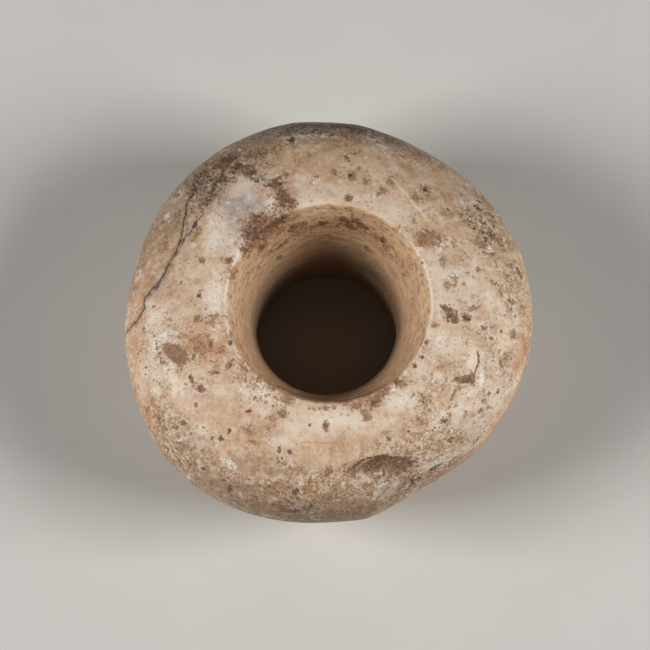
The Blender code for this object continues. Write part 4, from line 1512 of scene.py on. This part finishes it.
EVEN = (1.0, 1.0, 1.0)
GROUND_CLOUDS = (  # stretch, scale, detail, roughness; low, high, strength smooth and weathered, colour
    (EVEN, 0.11, 5.0, 0.6, ((0.4, 0.6, 1.0, 1.0, CREAM),)),
    (EVEN, 0.27, 5.0, 0.6, ((0.5, 0.7, 1.0, 1.0, TAN),)),
    ((1.1, 0.9, 1.3), 0.4, 5.0, 0.6, ((0.52, 0.66, 0.45, 0.45, OLIVE),)),
    ((0.9, 1.2, 0.8), 0.33, 5.0, 0.6, ((0.52, 0.66, 0.4, 0.4, PINK),)),
)
GROUND_GRAINS = (
    ((1.2, 0.8, 1.0), 0.16, 5.0, 0.6, ((0.45, 0.6, 0.45, 0.45, PEACH),)),
    ((0.95, 1.1, 1.0), 0.55, 4.0, 0.65, ((0.52, 0.58, 0.5, 0.5, YELLOW), (0.47, 0.41, 0.5, 0.5, ROSE))),
    (EVEN, 0.8, 6.0, 0.72, ((0.53, 0.6, 0.1, 0.75, MOTTLE), (0.45, 0.36, 0.25, 0.65, PALE_GRAIN_AND_GLINT))),
    (
        (0.9, 1.0, 1.1), 1.5, 4.0, 0.65,
        ((0.54, 0.6, 0.05, 0.6, MOTTLE_DEEP), (0.44, 0.38, 0.15, 0.6, PALE_GRAIN_AND_GLINT)),
    ),
    ((1.0, 1.15, 0.9), 0.42, 5.0, 0.62, ((0.55, 0.59, 0.15, 0.7, OCHRE), (0.45, 0.41, 0.5, 0.5, CREAM))),
    (EVEN, 2.6, 4.0, 0.72, ((0.54, 0.64, 0.08, 0.7, MOTTLE_DEEP), (0.43, 0.33, 0.2, 0.75, PALE_GRAIN_AND_GLINT))),
)
WALL_STREAKS = (  # the same, with the strength deep in the hole and near its mouth
    ((0.2, 0.2, 1.0), 1.0, 5.0, 0.7, ((0.45, 0.62, 0.4, 0.4, WALL_DARK),)),
    ((0.5, 0.5, 1.0), 0.8, 5.0, 0.6, ((0.5, 0.62, 0.6, 0.6, WALL_DARK),)),
    ((0.4, 0.4, 1.3), 0.7, 5.0, 0.6, ((0.53, 0.66, 0.5, 0.5, OLIVE),)),
    (
        (0.4, 0.4, 2.4), 1.0, 4.0, 0.65,
        ((0.54, 0.62, 0.6, 0.6, WALL_STROKE), (0.45, 0.38, 0.5, 0.5, WALL_PALE)),
    ),
)
WALL_BLOTCHES = (((0.8, 0.8, 1.4), 0.55, 5.0, 0.7, ((0.52, 0.6, 0.2, 0.55, WALL_STROKE),)),)
# Pale specks: partly pale grains of the stone, partly painted glints where the surface is weathered.
PALE_SPECKS_AND_GLINTS = (  # scale, share, size, softness, strength where smooth and where weathered, colour
    (1.5, 0.22, 0.2, 0.16, 0.2, 0.62, WHITE_CHIP_AND_GLINT),
    (0.9, 0.16, 0.17, 0.14, 0.2, 0.62, WHITE_CHIP_AND_GLINT),
    (0.5, 0.2, 0.2, 0.2, 0.15, 0.5, PALE_GRAIN_AND_GLINT),
)
BROWN_SPECKS = (
    (0.4, 0.26, 0.2, 0.16, 0.12, 0.62, PIT_LIGHT),
    (0.75, 0.3, 0.2, 0.12, 0.25, 0.7, BROWN_DEEP),
    (1.2, 0.28, 0.2, 0.16, 0.25, 0.65, PIT_DEEP),
)
STAIN_LAYERS = (  # field, light and deep colour, noise scale, raggedness, softness, strength
    # the first layer is a worn pale edge with a painted highlight along the mouth
    ("rim_wear_and_highlight", RIM_WEAR_AND_HIGHLIGHT, None, 0.9, 1.6, 0.3, 0.75),
    # dirt, with painted shade in some of its patches
    ("dirt_and_shade", DIRT_AND_SHADE_LIGHT, DIRT_AND_SHADE_DEEP, 0.6, 1.6, 0.35, 0.7),
    ("orange", ORANGE_STAIN, None, 0.7, 1.8, 0.25, 0.58),
    ("grey", GREY_STAIN, GREY_DEEP, 0.9, 1.7, 0.3, 0.85),
    ("pale", PALE_STAIN, None, 0.8, 1.4, 0.36, 0.66),
    ("white", WHITE_CHIP_AND_GLINT, None, 2.0, 2.4, 0.14, 0.8),
    ("scar", SCAR_LIGHT, SCAR_DEEP, 1.2, 0.8, 0.3, 0.92),
    ("brown", BROWN_LIGHT, BROWN_DEEP, 1.5, 2.1, 0.15, 0.82),
    ("dark", DARK_LIGHT, DARK_DEEP, 1.6, 2.0, 0.15, 0.88),
    ("inclusion", INCLUSION_LIGHT, INCLUSION_DEEP, 2.0, 0.3, 0.08, 0.95),
    ("pit", PIT_LIGHT, PIT_DEEP, 1.4, 1.5, 0.15, 0.8),
    ("red", RED_STAIN, None, 2.0, 1.0, 0.2, 0.7),
    ("soot", SOOT_LIGHT, SOOT_DEEP, 1.6, 2.0, 0.16, 0.85),
    ("line", CRACK_COLOUR, None, 0.8, 0.9, 0.25, 0.85),
    ("scratch", PALE_STAIN, None, 0.7, 1.2, 0.25, 0.75),
)
print(len(STAIN_LAYERS), "kinds of stain, from the lowest to the one on top")

# %% Lay the colours over each other
POLISH_STRENGTH, SIDE_AND_SHADE_STRENGTH = 0.5, 0.65
VEINS = (0.75, 3.0, 0.6)  # scale, detail and roughness
VEIN_EDGE = (0.016, 0.004)
VEIN_STRENGTHS = (0.08, 0.7)  # where smooth and where weathered
NEAR_MOUTH = (-11.0, -1.5)  # mm from the mouth's edge, where the wall turns paler: painted light near the opening
DEEP_DOWN = (-4.0, -19.0)  # where it turns darker: painted shade deep in the hole
MOUTH_LIGHT_STRENGTH, DEEP_SHADE_STRENGTH, WAIST_SHADE_STRENGTH, DOT_STRENGTH = 0.36, 0.6, 0.62, 0.7
DOT_STRETCH = (0.9, 0.9, 1.3)
WALL_DOTS = {"Scale": 0.9, "Share": 0.3, "Size": 0.2, "Softness": 0.14}
SPECKS_FADE = (0.6, 0.0, 0.15, 1.0)  # in the hole and outside it, and how many show in each
HALO_EDGE, HALO_STRENGTH = (0.1, 0.8), 0.5
# a pale painted highlight round the edges of dark stains and pits
PIT_GLINT_START, PIT_GLINT_END, PIT_GLINT_STRENGTH = (0.05, 0.25), (0.5, 0.3), 0.3
STAIN_MOTTLE = (1.3, 5.0, 0.75)
STAIN_MOTTLE_EDGE = (0.42, 0.58)
GRIT = (2.2, 6.0, 0.7)
GRIT_GLOSS = (0.3, 0.7, 0.42, 0.62)  # low and high grit, and the roughness of each
GRIT_HEIGHTS = (0.05, 0.13)  # in mm, where smooth and where weathered


def stone_place(tree):
    """Object coordinates in millimetres."""
    node = tree.nodes.new("ShaderNodeTexCoord")
    return scaled(tree, node.outputs["Object"], (1 / MM, 1 / MM, 1 / MM))


def grained(tree, place, base, driver, layers):
    """Bands of noise over the base, each with a strength that grows from least to most with the driver."""
    for stretch, scale, detail, roughness, bands in layers:
        value = noise(tree, scaled(tree, place, stretch), scale, detail, roughness)
        for low, high, least, most, shade in bands:
            strength = between(tree, driver, 0.0, 1.0, least, most)
            base = laid(tree, base, shade, between(tree, value, low, high), strength)
    return base


def ground_colour(tree, place):
    """Buff with cream and tan clouds, soft blotches, and brown and pale grains where it is weathered."""
    worn = field_node(tree, "weathered")
    base = grained(tree, place, BUFF, worn, GROUND_CLOUDS)
    base = laid(tree, base, CREAM, field_node(tree, "polished"), POLISH_STRENGTH)
    # the side band: browner side and painted shade away from the lamps
    base = laid(tree, base, SIDE_BROWN_AND_SHADE, field_node(tree, "side"), SIDE_AND_SHADE_STRENGTH)
    base = grained(tree, place, base, worn, GROUND_GRAINS)
    middle = math_node(tree, "SUBTRACT", noise(tree, place, *VEINS), 0.5)
    vein = between(tree, math_node(tree, "ABSOLUTE", middle), *VEIN_EDGE)
    return laid(tree, base, MOTTLE, vein, between(tree, worn, 0.0, 1.0, *VEIN_STRENGTHS))


def wall_colour(tree, place):
    """The drilled wall: tan, with faint streaks that follow the drill round, paler near the mouth as painted
    light, and darker deep down as painted shade.
    """
    near_mouth = between(tree, field_node(tree, "from_mouth"), *NEAR_MOUTH)
    shade = grained(tree, place, WALL_COLOUR, near_mouth, WALL_STREAKS)
    # painted light: the wall paler near the mouth
    shade = laid(tree, shade, WALL_MOUTH_LIGHT, near_mouth, MOUTH_LIGHT_STRENGTH)
    shade = grained(tree, place, shade, near_mouth, WALL_BLOTCHES)
    dots = effect(tree, "Specks", scaled(tree, place, DOT_STRETCH), **WALL_DOTS)
    shade = laid(tree, shade, PIT_DEEP, dots, times(tree, near_mouth, DOT_STRENGTH))
    # painted shade: the wall darker deep down
    deep_down = between(tree, field_node(tree, "from_mouth"), *DEEP_DOWN)
    shade = laid(tree, shade, WALL_DEEP_SHADE, deep_down, DEEP_SHADE_STRENGTH)
    # painted shade at the waist
    return laid(tree, shade, WAIST_SHADE, field_node(tree, "waist"), WAIST_SHADE_STRENGTH)


def speckled_over(tree, place, base, layers):
    """Spots and dots over the base, most of them where the stone is weathered."""
    worn = field_node(tree, "weathered")
    outside = between(tree, field_node(tree, "in_hole"), *SPECKS_FADE)
    for scale, share, size, soft, least, most, shade in layers:
        stretched = scaled(tree, place, (1.0, 0.85 + 0.2 * scale, 1.1))
        specks = effect(tree, "Specks", stretched, Scale=scale, Share=share, Size=size, Softness=soft)
        strength = times(tree, between(tree, worn, 0.0, 1.0, least, most), outside)
        base = laid(tree, base, shade, specks, strength)
    return base


def stained(tree, place, base):
    """The named stains over the base, with a soft brown halo, and a pale painted highlight round the edges of
    the dark ones and the pits.
    """
    brown, dark = field_node(tree, "brown"), field_node(tree, "dark")
    halo = between(tree, math_node(tree, "MAXIMUM", brown, dark), *HALO_EDGE)
    base = laid(tree, base, BROWN_LIGHT, halo, HALO_STRENGTH)
    sunken = math_node(tree, "MAXIMUM", dark, field_node(tree, "pit"))
    # painted highlight round the sunken marks
    pit_glint = times(tree, between(tree, sunken, *PIT_GLINT_START), between(tree, sunken, *PIT_GLINT_END))
    pit_glint = times(tree, pit_glint, between(tree, field_node(tree, "in_hole"), 0.5, 0.0))
    base = laid(tree, base, PALE_GRAIN_AND_GLINT, pit_glint, PIT_GLINT_STRENGTH)
    mottle = between(tree, noise(tree, place, *STAIN_MOTTLE), *STAIN_MOTTLE_EDGE)
    for name, light, deep, scale, ragged, soft, strength in STAIN_LAYERS:
        values = {"Field": field_node(tree, name), "Scale": scale, "Raggedness": ragged, "Softness": soft}
        shade = laid(tree, light, deep, mottle) if deep else light
        base = laid(tree, base, shade, effect(tree, "Ragged edge", place, **values), strength)
    return base


def stone_material():
    material = bpy.data.materials.new("pale_stone")
    material.use_nodes = True
    tree = material.node_tree
    shader = tree.nodes["Principled BSDF"]
    place = stone_place(tree)
    base = laid(tree, ground_colour(tree, place), wall_colour(tree, place), field_node(tree, "in_hole"))
    # pale specks: pale grains and painted glints
    base = speckled_over(tree, place, base, PALE_SPECKS_AND_GLINTS)
    base = stained(tree, place, base)
    base = speckled_over(tree, place, base, BROWN_SPECKS)
    feed(tree, shader.inputs["Base Color"], base)
    grit = noise(tree, place, *GRIT)
    feed(tree, shader.inputs["Roughness"], between(tree, grit, *GRIT_GLOSS))
    bump = tree.nodes.new("ShaderNodeBump")
    bump.inputs["Distance"].default_value = MM
    bump.inputs["Strength"].default_value = 1.0
    rough_share = between(tree, field_node(tree, "weathered"), 0.0, 1.0, *GRIT_HEIGHTS)
    feed(tree, bump.inputs["Height"], times(tree, grit, rough_share))
    feed(tree, shader.inputs["Normal"], bump.outputs[0])
    return material


stone_mesh.materials.clear()
stone_mesh.materials.append(stone_material())
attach(stone, "root")
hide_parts(NODE)
print(len(stone_mesh.materials[0].node_tree.nodes), "nodes in the stone's material")

# %% [markdown]
# ## Floor and light
# The stone lies on a plain pale floor. Two large soft lamps stand left and right of it, low enough to light
# its sides and to graze the pits, as in the photograph, and the surroundings add a weak, even light.

# %% Floor, lamps and surroundings
FLOOR_SIZE = 6.0
FLOOR_ROUGHNESS = 0.9
FLOOR_SHINE = 0.2
FLOOR_COLOUR = colour(206, 204, 200)
FLOOR_HAZE = colour(210, 208, 204)
HAZE = (0.02, 5.0, 0.6)
HAZE_EDGE = (0.2, 0.8)
LAMP_DISTANCE = 1.1
LAMP_HEIGHT_ANGLE = 36.0
LAMP_SIZE = 0.5
DISPLAY_GAMMA = 0.74
LAMP_POWER = 11.0
SURROUND_COLOUR = (0.9, 0.93, 1.0, 1.0)
SURROUND_STRENGTH = 0.03


def make_floor():
    bpy.ops.mesh.primitive_plane_add(size=FLOOR_SIZE)
    floor = bpy.context.object
    floor.name = "floor"
    material = bpy.data.materials.new("floor")
    material.use_nodes = True
    tree = material.node_tree
    shader = tree.nodes["Principled BSDF"]
    shader.inputs["Roughness"].default_value = FLOOR_ROUGHNESS
    shader.inputs["Specular IOR Level"].default_value = FLOOR_SHINE
    haze = between(tree, noise(tree, stone_place(tree), *HAZE), *HAZE_EDGE)
    feed(tree, shader.inputs["Base Color"], laid(tree, FLOOR_COLOUR, FLOOR_HAZE, haze))
    floor.data.materials.append(material)


def make_lamp(name, side):
    """A soft lamp to one side, raised from the picture's plane towards the camera."""
    angle = math.radians(LAMP_HEIGHT_ANGLE)
    data = bpy.data.lights.new(name, "AREA")
    data.shape = "SQUARE"
    data.size = LAMP_SIZE
    data.energy = LAMP_POWER
    lamp = bpy.data.objects.new(name, data)
    way = view_right * side * math.cos(angle) + view_back * math.sin(angle)
    lamp.location = way * LAMP_DISTANCE
    lamp.rotation_euler = (-way).to_track_quat("-Z", "Y").to_euler()
    bpy.context.scene.collection.objects.link(lamp)


make_floor()
make_lamp("left_lamp", -1)
make_lamp("right_lamp", 1)
world = bpy.data.worlds.new("surroundings")
world.use_nodes = True
background = world.node_tree.nodes["Background"]
background.inputs["Color"].default_value = SURROUND_COLOUR
background.inputs["Strength"].default_value = SURROUND_STRENGTH
bpy.context.scene.world = world
bpy.context.scene.view_settings.view_transform = "Standard"
bpy.context.scene.view_settings.gamma = DISPLAY_GAMMA
print("two lamps", LAMP_DISTANCE, "m away,", LAMP_HEIGHT_ANGLE, "degrees up")
